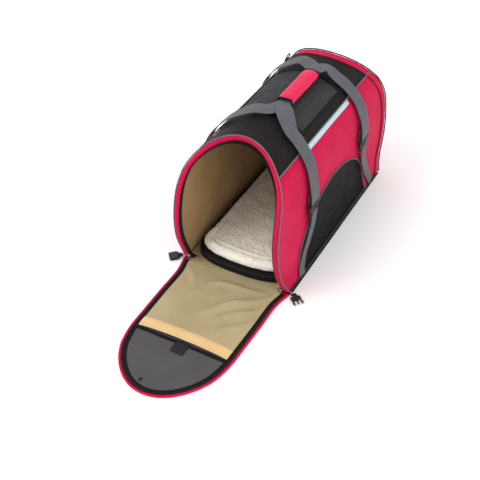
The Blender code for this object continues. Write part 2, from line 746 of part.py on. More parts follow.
def door_band(inset0, inset1, a_start, z0, z1, steps=20):
    """U-shaped band that follows the door's edge from one side round the tip."""
    grids = []
    for z in (z1, z0):
        rows = []
        sides = [door_outline(i, a_start, steps) for i in (inset0, inset1)]
        for k in range(steps + 1):
            rows.append([Vector((p[k][0], HINGE_Y - p[k][1], z)) for p in sides])
        for k in range(steps - 1, -1, -1):
            rows.append([Vector((-p[k][0], HINGE_Y - p[k][1], z)) for p in sides])
        grids.append(rows)
    return slab(*grids)


def build_door(mats):
    """The door: three outer panels, tape, mesh, pocket, hem and its two tabs."""
    z0 = DOOR_Z
    z1 = z0 + DOOR_THICK
    fold = (0.0, *DOOR_FOLDS)
    pins = [(0.0, HINGE_Y, HINGE_Z)] + [(0.0, HINGE_Y - f, HINGE_Z) for f in DOOR_FOLDS]
    add_object("door_panel_lower", door_strip(0.0005, fold[1] - GAP, 0.0, z0, z1),
               mats["magenta"], pins[0])
    add_object("door_panel_middle", door_strip(fold[1] + GAP, fold[2] - GAP, 0.0, z0, z1),
               mats["magenta"], pins[1])
    frame = DOOR_FRAME
    upper = add_object("door_panel_upper",
                       door_band(0.0, frame, fold[2] + GAP, z0, z1, 18),
                       mats["magenta"], pins[2])
    del upper
    inner = door_outline(frame + GAP, fold[2] + GAP, 18)
    shape = ([(p[0], HINGE_Y - p[1]) for p in inner]
             + [(-p[0], HINGE_Y - p[1]) for p in reversed(inner[:-1])])
    add_object("door_mesh", prism(shape, z0 + 0.0004, z0 + 0.0016), mats["mesh"], pins[2])

    za, zb = z1 + GAP, z1 + GAP + 0.0012
    ranges = (("lower", 0.0100, fold[1] - GAP, 0), ("middle", fold[1] + GAP, fold[2] - GAP, 1))
    for part, a0, a1, k in ranges:
        for sign, side in ((1, "right"), (-1, "left")):
            grids = []
            for z in (zb, za):
                grids.append([[Vector((sign * (door_half(a) - d), HINGE_Y - a, z))
                               for d in (DOOR_EDGE, DOOR_EDGE + DOOR_TAPE)]
                              for a in np.linspace(a0, a1, 8)])
            add_object(f"door_tape_{part}_{side}", slab(*grids), mats["black"], pins[k])
        hem = HEM_WIDTH if part == "middle" else 0.0
        add_object(f"door_pocket_{part}", door_strip(
            max(a0, 0.0120), a1 - hem - 0.0005 * (hem > 0),
            DOOR_EDGE + DOOR_TAPE + (GAP if k else 0.0045), za, za + 0.0022),
            mats["beige"], pins[k])
    add_object("door_tape_upper", door_band(
        DOOR_EDGE, DOOR_EDGE + DOOR_TAPE, fold[2] + GAP, za, zb, 18), mats["black"], pins[2])
    add_object("door_pocket_hem", door_strip(
        fold[2] - HEM_WIDTH + GAP, fold[2] - 0.0010, DOOR_EDGE + DOOR_TAPE + GAP,
        za, za + 0.0030, 2), mats["tan"], pins[1])

    ya = HINGE_Y - fold[2] - 0.0022
    add_object("door_pull_tab", prism([(-0.008, ya - 0.030), (0.020, ya - 0.030),
                                       (0.020, ya), (-0.008, ya)],
                                      z0 + 0.0016 + GAP, z0 + 0.0040),
               mats["black"], pins[2], smooth=False)
    yt = HINGE_Y - DOOR_LENGTH + DOOR_EDGE + DOOR_TAPE + 0.0060
    add_object("door_tip_tab", prism([(-0.024, yt), (-0.016, yt), (-0.016, yt + 0.012),
                                      (-0.024, yt + 0.012)],
                                     za, za + 0.0016),
               mats["black"], pins[2], smooth=False)


# ---------------------------------------------------------------- hardware
def build_sliders(mats):
    """Zipper sliders parked at the feet of the front zipper."""
    for sign, side in ((1, "right"), (-1, "left")):
        s = runs(sign, 0.030, 0.030)[0]
        middle = BAND_WIDTH + 0.0036
        p = SKIN_FORM.point(s, from_front(0.0), -middle)
        q = SKIN_FORM.point(runs(sign, 0.036, 0.036)[0], from_front(0.0), -middle)
        up = (q - p).normalized()
        across = Vector((1, 0, 0))
        normal = across.cross(up).normalized()
        normal = normal if normal.y < 0 else -normal
        outline = [(-0.0038, -0.0050), (0.0038, -0.0050), (0.0050, 0.0040), (0.0024, 0.0055),
                   (-0.0024, 0.0055), (-0.0050, 0.0040)]
        bm = prism(outline, -0.0008, 0.0008)
        centre = p + normal * 0.0016
        place(bm, centre, across if normal.dot(across.cross(up)) > 0 else -across, up)
        add_object(f"slider_{side}", bm, mats["steel"], centre, smooth=False)


def webbing_eye(bar, out, normal, along, radius=0.0027):
    """Stations of a tab that comes over a bar, turns round it and ends below it."""
    turn = [(bar + out * (radius * math.sin(a)) + normal * (radius * math.cos(a)), along)
            for a in (math.pi * k / 6 for k in range(7))]
    return ([(bar - out * 0.0034 + normal * radius, along)] + turn
            + [(bar - out * 0.0034 - normal * radius, along)])


def build_buckles(mats):
    """Side-release buckle halves on webbing tabs at the front base corners."""
    half = HALF_WIDTHS[0][1]
    for sign, side in ((1, "right"), (-1, "left")):
        out = Vector((sign * 0.75, -0.66, 0.0)).normalized()
        along = Vector((-out.y * sign, out.x * sign, 0.0))
        root = Vector((sign * (half + 0.0058), -LENGTH / 2 - 0.0020, 0.0042))
        tab_half = 0.0062
        bar = root + out * 0.0115
        stations = [(root, along), (root + out * 0.004, along)]
        stations += webbing_eye(bar, out, Vector((0, 0, 1)), along)
        add_object(f"buckle_tab_{side}", ribbon(stations, 2 * tab_half, 0.0012), mats["black"])
        if side == "right":
            xs = [-0.0115, -0.0085, -0.0022, 0.0022, 0.0085, 0.0115]
            ys = [-0.0011, 0.0011, 0.0042, 0.0110, 0.0250]

            def solid(i, j):
                return (True, i in (0, 4), True, i in (0, 2, 4))[j]

            bm = cell_plate(xs, ys, solid, 0.0022)
        else:
            xs = [-0.0125, -0.0085, -0.0062, 0.0062, 0.0085, 0.0125]
            ys = [-0.0011, 0.0011, 0.0042, 0.0230]

            def solid(i, j):
                return (True, i in (0, 4), True)[j]

            bm = cell_plate(xs, ys, solid, 0.0022)
        place(bm, bar, along if sign > 0 else -along, out)
        name = "buckle_prongs_right" if side == "right" else "buckle_socket_left"
        add_object(name, bm, mats["plastic"], bar, smooth=False)


def build_ring(mats):
    """D-ring on its tab at the rear left shoulder."""
    total = SKIN_FORM.total
    z = 0.262
    s = total - SKIN_FORM.run_at_height(z)
    y = SKIN_FORM.rear(z) - 0.040
    p, n = strap_frame(s, y, 0.0011)
    up = (SKIN_FORM.point(s - 0.004, fixed_y(y), 0.0011) - p).normalized()
    along = Vector((0, 1, 0))
    bar = p + up * 0.020 + n * 0.0042
    stations = [(p - up * 0.002, along), (p + up * 0.006, along)]
    stations += webbing_eye(bar, up, n, along)
    add_object("ring_tab", ribbon(stations, 0.0170, 0.0012), mats["black"])
    bm = bmesh.new()
    path = [(-0.0115, 0.0)] + [(0.0115 * math.cos(a), 0.004 + 0.013 * math.sin(a))
                               for a in (math.pi * k / 8 for k in range(9))][::-1]
    path += [(0.0115, 0.0)]
    loops = []
    for k in range(len(path)):
        here = Vector((*path[k], 0.0))
        prev = Vector((*path[k - 1], 0.0))
        nxt = Vector((*path[(k + 1) % len(path)], 0.0))
        t = ((nxt - here).normalized() + (here - prev).normalized()).normalized()
        side = Vector((t.y, -t.x, 0.0))
        loops.append([bm.verts.new(here + 0.0013 * (math.cos(a) * side
                                                     + math.sin(a) * Vector((0, 0, 1))))
                      for a in (math.pi / 3 * m for m in range(6))])
    for k in range(len(loops)):
        a, b = loops[k], loops[(k + 1) % len(loops)]
        for m in range(6):
            bm.faces.new((a[m], a[(m + 1) % 6], b[(m + 1) % 6], b[m]))
    place(bm, bar, along, up)
    add_object("carry_ring", bm, mats["plastic"], bar)


def main():
    """Clear the scene and build the bag."""
    for obj in list(bpy.data.objects):
        bpy.data.objects.remove(obj, do_unlink=True)
    mats = make_materials()
    build_floor(mats)
    build_walls(mats)
    build_rims(mats)
    build_handles(mats)
    build_door(mats)
    build_sliders(mats)
    build_buckles(mats)
    build_ring(mats)


main()
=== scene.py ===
"""Soft-sided pet carrier bag, its front door let down flat on the floor.

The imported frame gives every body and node; this script sews the cloth, webbing, zips, fleece
and moulded fittings round it, in the same metres and the same frame: +X to the right of the
front opening, -Y out of the front opening, +Z up, the origin under the middle of the base.
"""
import logging
import math
from collections.abc import Sequence
from dataclasses import dataclass, field
from enum import Enum

import bmesh
import bpy
import numpy as np
from mathutils import Matrix, Vector, noise


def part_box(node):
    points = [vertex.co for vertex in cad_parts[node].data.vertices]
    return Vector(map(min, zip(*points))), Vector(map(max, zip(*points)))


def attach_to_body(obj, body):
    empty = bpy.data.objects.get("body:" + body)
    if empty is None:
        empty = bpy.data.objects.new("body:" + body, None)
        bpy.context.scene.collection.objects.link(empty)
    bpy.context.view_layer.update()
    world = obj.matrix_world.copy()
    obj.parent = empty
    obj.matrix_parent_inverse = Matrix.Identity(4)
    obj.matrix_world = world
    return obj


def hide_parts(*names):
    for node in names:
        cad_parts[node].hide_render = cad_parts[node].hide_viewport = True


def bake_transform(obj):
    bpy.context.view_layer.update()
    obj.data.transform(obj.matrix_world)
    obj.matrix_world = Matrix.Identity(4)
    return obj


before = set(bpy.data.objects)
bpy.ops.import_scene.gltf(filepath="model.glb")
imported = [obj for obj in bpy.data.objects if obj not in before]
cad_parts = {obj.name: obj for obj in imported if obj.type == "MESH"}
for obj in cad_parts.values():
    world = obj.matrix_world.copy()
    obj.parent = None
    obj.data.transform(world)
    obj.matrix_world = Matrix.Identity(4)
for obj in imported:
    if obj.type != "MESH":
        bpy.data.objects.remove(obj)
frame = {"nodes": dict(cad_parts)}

LOG = logging.getLogger("carrier")
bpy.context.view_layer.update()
Array = np.ndarray


# ------------------------------------------------------------------ shader tools
def linear(hex_colour: str) -> tuple[float, float, float, float]:
    """Turn an sRGB hex colour into linear RGBA.

    Args:
        hex_colour: six hex digits, such as "E01850".

    Returns:
        Linear red, green, blue and an alpha of 1.
    """
    values = [int(hex_colour[i:i + 2], 16) / 255 for i in (0, 2, 4)]
    return (*[v / 12.92 if v <= 0.04045 else ((v + 0.055) / 1.055) ** 2.4 for v in values], 1.0)


def add_node(tree: bpy.types.NodeTree, kind: str, settings: dict | None = None,
             inputs: dict | None = None) -> bpy.types.Node:
    """Add a node with its settings, constant inputs and links.

    Args:
        tree: the node tree that takes the node.
        kind: the node's type name.
        settings: attribute values, by attribute name.
        inputs: input values or output sockets to link from, by socket name or number.

    Returns:
        The new node.
    """
    made = tree.nodes.new(kind)
    for key, value in (settings or {}).items():
        setattr(made, key, value)
    for key, value in (inputs or {}).items():
        socket = made.inputs[key]
        if isinstance(value, bpy.types.NodeSocket):
            tree.links.new(value, socket)
        else:
            socket.default_value = value
    return made


class Cover(Enum):
    """Where a pattern takes its coordinates from."""

    CLOTH = "UV"          # the piece's own cloth coordinates, in metres
    OBJECT = "Object"     # the object's space, in metres


def wire(tree: bpy.types.NodeTree, shader: bpy.types.Node, tone: bpy.types.Node | None = None,
         bump: bpy.types.Node | None = None, rough: bpy.types.Node | None = None) -> None:
    """Link a finish's colour mix, bump and roughness nodes, where it has them, to its shader."""
    if tone:
        tree.links.new(tone.outputs[2], shader.inputs["Base Color"])
    if bump:
        tree.links.new(bump.outputs["Normal"], shader.inputs["Normal"])
    if rough:
        tree.links.new(rough.outputs[0], shader.inputs["Roughness"])


def fresh_material(name: str) -> tuple[bpy.types.Material, bpy.types.NodeTree, bpy.types.Node]:
    """Make an empty Principled material.

    Args:
        name: the finish's name.

    Returns:
        The material, its node tree and its Principled node.
    """
    made = bpy.data.materials.new(name)
    made.use_nodes = True
    tree = made.node_tree
    return made, tree, tree.nodes["Principled BSDF"]


WAVE_PERIOD = 2 * math.pi / 20     # the wave texture's period at scale 1


@dataclass(frozen=True)
class WovenCloth:
    """Plain-woven synthetic cloth: threads over and under each other, sized in millimetres.

    The weave is drawn as a checker of two thread directions, with slubs along the threads and a
    slow drift of tone where the cloth has been handled; the troughs of the weave take the darker
    colour as painted shade between the threads.
    """

    name: str
    colour: str
    # darker colour: painted shade in the weave's troughs, and the cloth's own slub and handled
    # tone
    shade: str
    thread_mm: float = 1.3        # finer in the real cloth; drawn this coarse so that it shows
    roughness: float = 0.72
    sheen: float = 0.25
    relief_mm: float = 0.16
    drift_mm: float = 60.0
    drift: float = 0.35
    coat: float = 0.0
    cover: Cover = Cover.CLOTH

    def make(self) -> bpy.types.Material:
        """Return the finish as a material."""
        made, tree, shader = fresh_material(self.name)
        where = add_node(tree, "ShaderNodeTexCoord").outputs[self.cover.value]
        thread = self.thread_mm / 1000
        scale = WAVE_PERIOD / (2 * thread)
        warp = add_node(tree, "ShaderNodeTexWave", {"wave_type": "BANDS", "bands_direction": "X"},
                        {"Vector": where, "Scale": scale, "Distortion": 0.4,
                         "Detail Scale": 3.0})
        weft = add_node(tree, "ShaderNodeTexWave", {"wave_type": "BANDS", "bands_direction": "Y"},
                        {"Vector": where, "Scale": scale, "Distortion": 0.4,
                         "Detail Scale": 3.0})
        checker = add_node(tree, "ShaderNodeTexChecker", None,
                           {"Vector": where, "Scale": 1 / thread})
        weave = add_node(tree, "ShaderNodeMix", {"data_type": "FLOAT"},
                         {0: checker.outputs["Fac"], 2: warp.outputs["Fac"],
                          3: weft.outputs["Fac"]})
        slow = add_node(tree, "ShaderNodeTexNoise", None,
                        {"Vector": where, "Scale": 1000 / self.drift_mm, "Detail": 3.0,
                         "Roughness": 0.5})
        slub = add_node(tree, "ShaderNodeTexNoise", None,
                        {"Vector": where, "Scale": 1 / (3 * thread), "Detail": 2.0})
        part = add_node(tree, "ShaderNodeMapRange", None,
                        {"Value": slow.outputs["Fac"], "From Min": 0.3, "From Max": 0.7,
                         "To Min": 0.0, "To Max": self.drift})
        # the lower a place sits in the weave, the more of the darker colour it takes: painted
        # shade between the threads
        fine = add_node(tree, "ShaderNodeMath", {"operation": "MULTIPLY_ADD"},
                        {0: weave.outputs[0], 1: -0.22, 2: part.outputs[0]})
        fine = add_node(tree, "ShaderNodeMath", {"operation": "MULTIPLY_ADD", "use_clamp": True},
                        {0: slub.outputs["Fac"], 1: 0.24, 2: fine.outputs[0]})
        tone = add_node(tree, "ShaderNodeMix", {"data_type": "RGBA"},
                        {0: fine.outputs[0], 6: linear(self.colour), 7: linear(self.shade)})
        height = add_node(tree, "ShaderNodeMath", {"operation": "MULTIPLY_ADD"},
                          {0: slub.outputs["Fac"], 1: 0.5, 2: weave.outputs[0]})
        bump = add_node(tree, "ShaderNodeBump", None,
                        {"Height": height.outputs[0], "Distance": self.relief_mm / 1000,
                         "Strength": 0.8})
        rough = add_node(tree, "ShaderNodeMapRange", None,
                         {"Value": slow.outputs["Fac"], "From Min": 0.3, "From Max": 0.7,
                          "To Min": self.roughness - 0.05, "To Max": self.roughness + 0.06})
        wire(tree, shader, tone=tone, bump=bump, rough=rough)
        shader.inputs["Sheen Weight"].default_value = self.sheen
        shader.inputs["Sheen Roughness"].default_value = 0.4
        shader.inputs["Specular IOR Level"].default_value = 0.14
        shader.inputs["Coat Weight"].default_value = self.coat
        shader.inputs["Coat Roughness"].default_value = 0.45
        return made


@dataclass(frozen=True)
class RibbedWebbing:
    """Woven polyester or polypropylene webbing: ribs across its length, a flat selvedge."""

    name: str
    colour: str
    # darker colour: painted shade between the ribs, and the webbing's own worn tone
    shade: str
    rib_mm: float = 2.4           # about twice the real rib, so that it shows
    roughness: float = 0.6

    def make(self) -> bpy.types.Material:
        """Return the finish as a material."""
        made, tree, shader = fresh_material(self.name)
        where = add_node(tree, "ShaderNodeTexCoord").outputs["UV"]
        ribs = add_node(tree, "ShaderNodeTexWave", {"wave_type": "BANDS", "bands_direction": "Y"},
                        {"Vector": where, "Scale": WAVE_PERIOD / (self.rib_mm / 1000),
                         "Distortion": 0.3})
        cords = add_node(tree, "ShaderNodeTexWave", {"wave_type": "BANDS", "bands_direction": "X"},
                         {"Vector": where, "Scale": WAVE_PERIOD / 0.0048, "Distortion": 0.2})
        wear = add_node(tree, "ShaderNodeTexNoise", None,
                        {"Vector": where, "Scale": 40.0, "Detail": 4.0})
        both = add_node(tree, "ShaderNodeMath", {"operation": "MULTIPLY"},
                        {0: ribs.outputs["Fac"], 1: cords.outputs["Fac"]})
        # low places between ribs and cords take more of the darker colour: painted shade in the
        # grooves; the wear noise is the webbing's own tone
        part = add_node(tree, "ShaderNodeMath", {"operation": "MULTIPLY_ADD"},
                        {0: both.outputs[0], 1: -0.5, 2: 0.55})
        part = add_node(tree, "ShaderNodeMath", {"operation": "MULTIPLY_ADD", "use_clamp": True},
                        {0: wear.outputs["Fac"], 1: 0.5, 2: part.outputs[0]})
        tone = add_node(tree, "ShaderNodeMix", {"data_type": "RGBA"},
                        {0: part.outputs[0], 6: linear(self.colour), 7: linear(self.shade)})
        bump = add_node(tree, "ShaderNodeBump", None,
                        {"Height": both.outputs[0], "Distance": 0.0004, "Strength": 0.9})
        wire(tree, shader, tone=tone, bump=bump)
        shader.inputs["Roughness"].default_value = self.roughness
        shader.inputs["Sheen Weight"].default_value = 0.05
        shader.inputs["Specular IOR Level"].default_value = 0.3
        return made


@dataclass(frozen=True)
class MeshNet:
    """Knitted polyester mesh: dark yarn round small open cells that show what lies behind."""

    name: str
    colour: str
    shade: str
    cell_mm: float = 2.2
    opening: float = 0.30         # share of the cell that is open

    def make(self) -> bpy.types.Material:
        """Return the finish as a material."""
        made, tree, shader = fresh_material(self.name)
        where = add_node(tree, "ShaderNodeTexCoord").outputs["UV"]
        cells = add_node(tree, "ShaderNodeTexVoronoi", {"feature": "F1"},
                         {"Vector": where, "Scale": 1000 / self.cell_mm, "Randomness": 0.12})
        solid = add_node(tree, "ShaderNodeMapRange", {"interpolation_type": "SMOOTHSTEP"},
                         {"Value": cells.outputs["Distance"], "From Min": self.opening * 0.7,
                          "From Max": self.opening * 1.3, "To Min": 0.45, "To Max": 1.0})
        slow = add_node(tree, "ShaderNodeTexNoise", None,
                        {"Vector": where, "Scale": 22.0, "Detail": 3.0})
        tone = add_node(tree, "ShaderNodeMix", {"data_type": "RGBA"},
                        {0: slow.outputs["Fac"], 6: linear(self.colour), 7: linear(self.shade)})
        bump = add_node(tree, "ShaderNodeBump", None,
                        {"Height": cells.outputs["Distance"], "Distance": 0.0003})
        wire(tree, shader, tone=tone, bump=bump)
        tree.links.new(solid.outputs[0], shader.inputs["Alpha"])
        shader.inputs["Roughness"].default_value = 0.6
        shader.inputs["Sheen Weight"].default_value = 0.01
        shader.inputs["Specular IOR Level"].default_value = 0.06
        return made


@dataclass(frozen=True)
class CurlyPile:
    """Acrylic sheepskin pile: matt cream curls, with painted shade in the hollows between them."""

    name: str
    colour: str
    # colour of the hollows between curls: painted shade
    root: str
    curl_mm: float = 6.0

    def make(self) -> bpy.types.Material:
        """Return the finish as a material."""
        made, tree, shader = fresh_material(self.name)
        where = add_node(tree, "ShaderNodeTexCoord").outputs["Object"]
        bend = add_node(tree, "ShaderNodeTexNoise", None,
                        {"Vector": where, "Scale": 500 / self.curl_mm, "Detail": 2.0,
                         "Distortion": 1.2})
        curls = add_node(tree, "ShaderNodeTexNoise", None,
                         {"Vector": where, "Scale": 1000 / self.curl_mm, "Detail": 6.0,
                          "Roughness": 0.7, "Distortion": 2.0})
        # where the curl noise, which also sinks the bump, is low, the hollow colour shows: painted
        # shade between the curls
        part = add_node(tree, "ShaderNodeMath", {"operation": "MULTIPLY_ADD", "use_clamp": True},
                        {0: curls.outputs["Fac"], 1: 2.6, 2: -0.75})
        tone = add_node(tree, "ShaderNodeMix", {"data_type": "RGBA"},
                        {0: part.outputs[0], 6: linear(self.root), 7: linear(self.colour)})
        height = add_node(tree, "ShaderNodeMath", {"operation": "ADD"},
                          {0: curls.outputs["Fac"], 1: bend.outputs["Fac"]})
        bump = add_node(tree, "ShaderNodeBump", None,
                        {"Height": height.outputs[0], "Distance": 0.0011, "Strength": 0.8})
        wire(tree, shader, tone=tone, bump=bump)
        shader.inputs["Roughness"].default_value = 0.95
        shader.inputs["Sheen Weight"].default_value = 0.5
        shader.inputs["Sheen Roughness"].default_value = 0.6
        return made


@dataclass(frozen=True)
class MouldedPlastic:
    """Injection-moulded acetal: a fine spark-eroded grain under a soft gloss."""

    name: str
    colour: str
    roughness: float = 0.38
    grain_mm: float = 0.5

    def make(self) -> bpy.types.Material:
        """Return the finish as a material."""
        made, tree, shader = fresh_material(self.name)
        where = add_node(tree, "ShaderNodeTexCoord").outputs["Object"]
        grain = add_node(tree, "ShaderNodeTexNoise", None,
                         {"Vector": where, "Scale": 1000 / self.grain_mm, "Detail": 3.0})
        rubs = add_node(tree, "ShaderNodeTexNoise", None, {"Vector": where, "Scale": 150.0})
        rough = add_node(tree, "ShaderNodeMapRange", None,
                         {"Value": rubs.outputs["Fac"], "From Min": 0.3, "From Max": 0.7,
                          "To Min": self.roughness - 0.08, "To Max": self.roughness + 0.1})
        bump = add_node(tree, "ShaderNodeBump", None,
                        {"Height": grain.outputs["Fac"], "Distance": 0.00006})
        wire(tree, shader, rough=rough, bump=bump)
        shader.inputs["Base Color"].default_value = linear(self.colour)
        shader.inputs["IOR"].default_value = 1.48
        return made


@dataclass(frozen=True)
class DieCastZinc:
    """Die-cast zinc with a nickel flash: bright, softly blurred, scuffed on its high spots."""

    name: str
    colour: str

    def make(self) -> bpy.types.Material:
        """Return the finish as a material."""
        made, tree, shader = fresh_material(self.name)
        where = add_node(tree, "ShaderNodeTexCoord").outputs["Object"]
        scuffs = add_node(tree, "ShaderNodeTexNoise", None,
                          {"Vector": where, "Scale": 700.0, "Detail": 4.0})
        rough = add_node(tree, "ShaderNodeMapRange", None,
                         {"Value": scuffs.outputs["Fac"], "From Min": 0.3, "From Max": 0.7,
                          "To Min": 0.2, "To Max": 0.42})
        wire(tree, shader, rough=rough)
        shader.inputs["Base Color"].default_value = linear(self.colour)
        shader.inputs["Metallic"].default_value = 1.0
        return made


@dataclass(frozen=True)
class GlassBeadTape:
    """Retroreflective tape: glass beads in a silver binder, pale blue under soft light, each bead
    with a painted glint.
    """

    name: str
    colour: str
    shade: str
    bead_mm: float = 0.8          # far finer in the real tape

    def make(self) -> bpy.types.Material:
        """Return the finish as a material."""
        made, tree, shader = fresh_material(self.name)
        where = add_node(tree, "ShaderNodeTexCoord").outputs["UV"]
        beads = add_node(tree, "ShaderNodeTexVoronoi", None,
                         {"Vector": where, "Scale": 1000 / self.bead_mm})
        # middle of each bead takes the lighter colour, its edge the darker: painted glint on every
        # bead
        tone = add_node(tree, "ShaderNodeMix", {"data_type": "RGBA"},
                        {0: beads.outputs["Distance"], 6: linear(self.colour),
                         7: linear(self.shade)})
        bump = add_node(tree, "ShaderNodeBump", None,
                        {"Height": beads.outputs["Distance"], "Distance": 0.0001})
        wire(tree, shader, tone=tone, bump=bump)
        shader.inputs["Roughness"].default_value = 0.32
        shader.inputs["Metallic"].default_value = 0.15
        return made


class Finishes:
    """Every finish of the bag, made once and handed to the sub-assemblies."""

    def __init__(self) -> None:
        """Make all the materials."""
        # 600-denier polyester with a polyurethane back: saturated, softly sheened, matt weave
        self.magenta = WovenCloth("magenta_polyester_600d", "CA0946", "AA0839", 1.5, 0.7,
                                  0.03, 0.2).make()
        # the same cloth, wound over foam, a little glossier where it is stretched
        self.wrap = WovenCloth("magenta_polyester_stretched", "E00C4E", "B0083A", 1.3, 0.4,
                               0.03, 0.12, 30.0, 0.3, 0.25).make()
        # black 600-denier polyester, faintly brown where light grazes it
        self.black = WovenCloth("black_polyester_600d", "181514", "0D0B0B", 1.5, 0.62, 0.05,
                                0.2, 45.0, 0.5).make()
        self.black_base = WovenCloth("black_base_board_cover", "181514", "0D0B0B", 1.5, 0.62,
                                     0.05, 0.2, 45.0, 0.5, 0.0, Cover.OBJECT).make()
        # thin coated nylon lining: pale khaki, slightly satin, fine weave
        self.lining = WovenCloth("khaki_nylon_lining", "B59669", "967750", 1.0, 0.55, 0.08,
                                 0.06, 80.0, 0.4).make()
        self.pocket = WovenCloth("khaki_nylon_pocket", "B0A07C", "978662", 1.0, 0.46, 0.1,
                                 0.06, 70.0, 0.45).make()
        # folded hem of heavier twill tape, lighter and warmer than the nylon
        self.hem = WovenCloth("sand_hem_tape", "DFBC88", "CBA66E", 1.2, 0.7, 0.08, 0.15,
                              40.0, 0.3).make()
        self.tape = WovenCloth("black_zip_tape", "131112", "090808", 1.2, 0.72, 0.04,
                               0.15, 30.0, 0.4).make()
        self.piping = WovenCloth("grey_bias_piping", "6C6C6E", "4E4E50", 0.9, 0.55, 0.06,
                                 0.1, 25.0, 0.4).make()
        self.black_piping = WovenCloth("black_bias_piping", "1C1A1B", "0C0B0C", 0.9, 0.5, 0.15,
                                       0.1, 25.0, 0.4).make()
        self.webbing = RibbedWebbing("grey_polyester_webbing", "6A6D72", "46494D").make()
        self.black_webbing = RibbedWebbing("black_webbing_tab", "1E1C1D", "0E0D0E").make()
        self.net = MeshNet("black_polyester_mesh", "100F10", "1D1B1C", 2.0, 0.14).make()
        # the roof's black mesh is drawn dark grey: the lift above black is a painted highlight
        # from the light above
        self.roof_net = MeshNet("black_fine_mesh_painted_highlight", "434245", "2C2B2D", 1.8, 0.12).make()
        # mid grey of the door's mesh stands in for the pale floor seen through its holes: painted
        # light
        self.door_net = MeshNet("door_mesh_painted_floor_light", "5A585A", "4A484A", 1.8, 0.16).make()
        # second colour is painted shade in the hollows of the pile
        self.fleece = CurlyPile("cream_sheepskin_pile", "FDF9F0", "EAE1D1").make()
        self.plastic = MouldedPlastic("black_acetal", "171718").make()
        self.coil = MouldedPlastic("black_nylon_coil", "19181A", 0.3).make()
        self.zinc = DieCastZinc("nickel_flashed_zinc", "A5A4A1").make()
        self.beads = GlassBeadTape("silver_bead_tape", "CFE3EA", "A9C2CC").make()
        self.thread = MouldedPlastic("magenta_polyester_thread", "C81A4C", 0.6).make()
        self.dark_thread = MouldedPlastic("black_polyester_thread", "201E20", 0.6).make()
        self.grey_thread = MouldedPlastic("grey_polyester_thread", "8C8F93", 0.6).make()
        self.sand_thread = MouldedPlastic("sand_polyester_thread", "A8925F", 0.6).make()


# ------------------------------------------------------------------ mesh tools
def to_scene(made: bpy.types.Object) -> None:
    """Put an object into the scene."""
    bpy.context.scene.collection.objects.link(made)


def unit(vectors: Array) -> Array:
    """Return the rows of an array of vectors, each of length 1."""
    return vectors / np.linalg.norm(vectors, axis=1, keepdims=True)


def outward(normals: Array) -> Array:
    """Turn (N, 2) directions in the section into directions in space."""
    return np.stack([normals[:, 0], np.zeros(len(normals)), normals[:, 1]], -1)


def signed_volume(verts: Array, faces: Sequence) -> float:
    """Volume that closed faces hold, below zero where they point inwards."""
    quads = np.array([face for face in faces if len(face) == 4], int)
    corners = [quads[:, [0, 1, 2]], quads[:, [0, 2, 3]]] if len(quads) else []
    for face in faces:
        if len(face) != 4:
            corners.append(np.array([(face[0], b, c) for b, c in zip(face[1:], face[2:])]))
    tri = verts[np.concatenate(corners)]
    return float((tri[:, 0] * np.cross(tri[:, 1], tri[:, 2])).sum() / 6)


def finish_mesh(name: str, verts: Array, faces: Sequence, corners: Sequence,
                material: bpy.types.Material, sharp_deg: float = 55.0) -> bpy.types.Object:
    """Make an object from faces that may be inside out, and turn them outwards.

    Args:
        name: the piece's name.
        verts: (N, 3) points in metres.
        faces: corner numbers of each face.
        corners: cloth coordinates of each face's corners, in the same order.
        material: the finish.
        sharp_deg: edges sharper than this stay crisp.

    Returns:
        The object, at the origin, smooth shaded.
    """
    volume = signed_volume(verts, faces)
    if volume < 0:
        faces = [tuple(face[::-1]) for face in faces]
        corners = [uv[::-1] for uv in corners]
    mesh = bpy.data.meshes.new(name)
    mesh.from_pydata(verts.tolist(), [], [tuple(int(i) for i in face) for face in faces])
    layer = mesh.uv_layers.new(name="cloth")
    layer.data.foreach_set("uv", np.concatenate([np.asarray(c, float).ravel()
                                                 for c in corners]).astype(np.float32))
    mesh.materials.append(material)
    mesh.shade_smooth()
    mesh.set_sharp_from_angle(angle=math.radians(sharp_deg))
    made = bpy.data.objects.new(name, mesh)
    to_scene(made)
    return made


def slab(name: str, top: Array, bottom: Array, cloth: Array,
         material: bpy.types.Material) -> bpy.types.Object:
    """Close two grids of points into one thin solid.

    Args:
        name: the piece's name.
        top: (R, C, 3) outer face.
        bottom: (R, C, 3) inner face.
        cloth: (R, C, 2) cloth coordinates in metres.
        material: the finish.

    Returns:
        The object.
    """
    rows, cols = top.shape[:2]
    verts = np.concatenate([top.reshape(-1, 3), bottom.reshape(-1, 3)])
    flat = cloth.reshape(-1, 2)
    n = rows * cols
    at = np.arange(n).reshape(rows, cols)
    upper = np.stack([at[:-1, :-1], at[:-1, 1:], at[1:, 1:], at[1:, :-1]], -1).reshape(-1, 4)
    lower = upper[:, ::-1] + n
    rim = np.concatenate([at[0, :], at[1:, -1], at[-1, -2::-1], at[-2:0:-1, 0]])
    after = np.roll(rim, -1)
    wall = np.stack([rim, rim + n, after + n, after], -1)
    faces = np.concatenate([upper, lower, wall])
    return finish_mesh(name, verts, [tuple(f) for f in faces], list(flat[faces % n]), material)


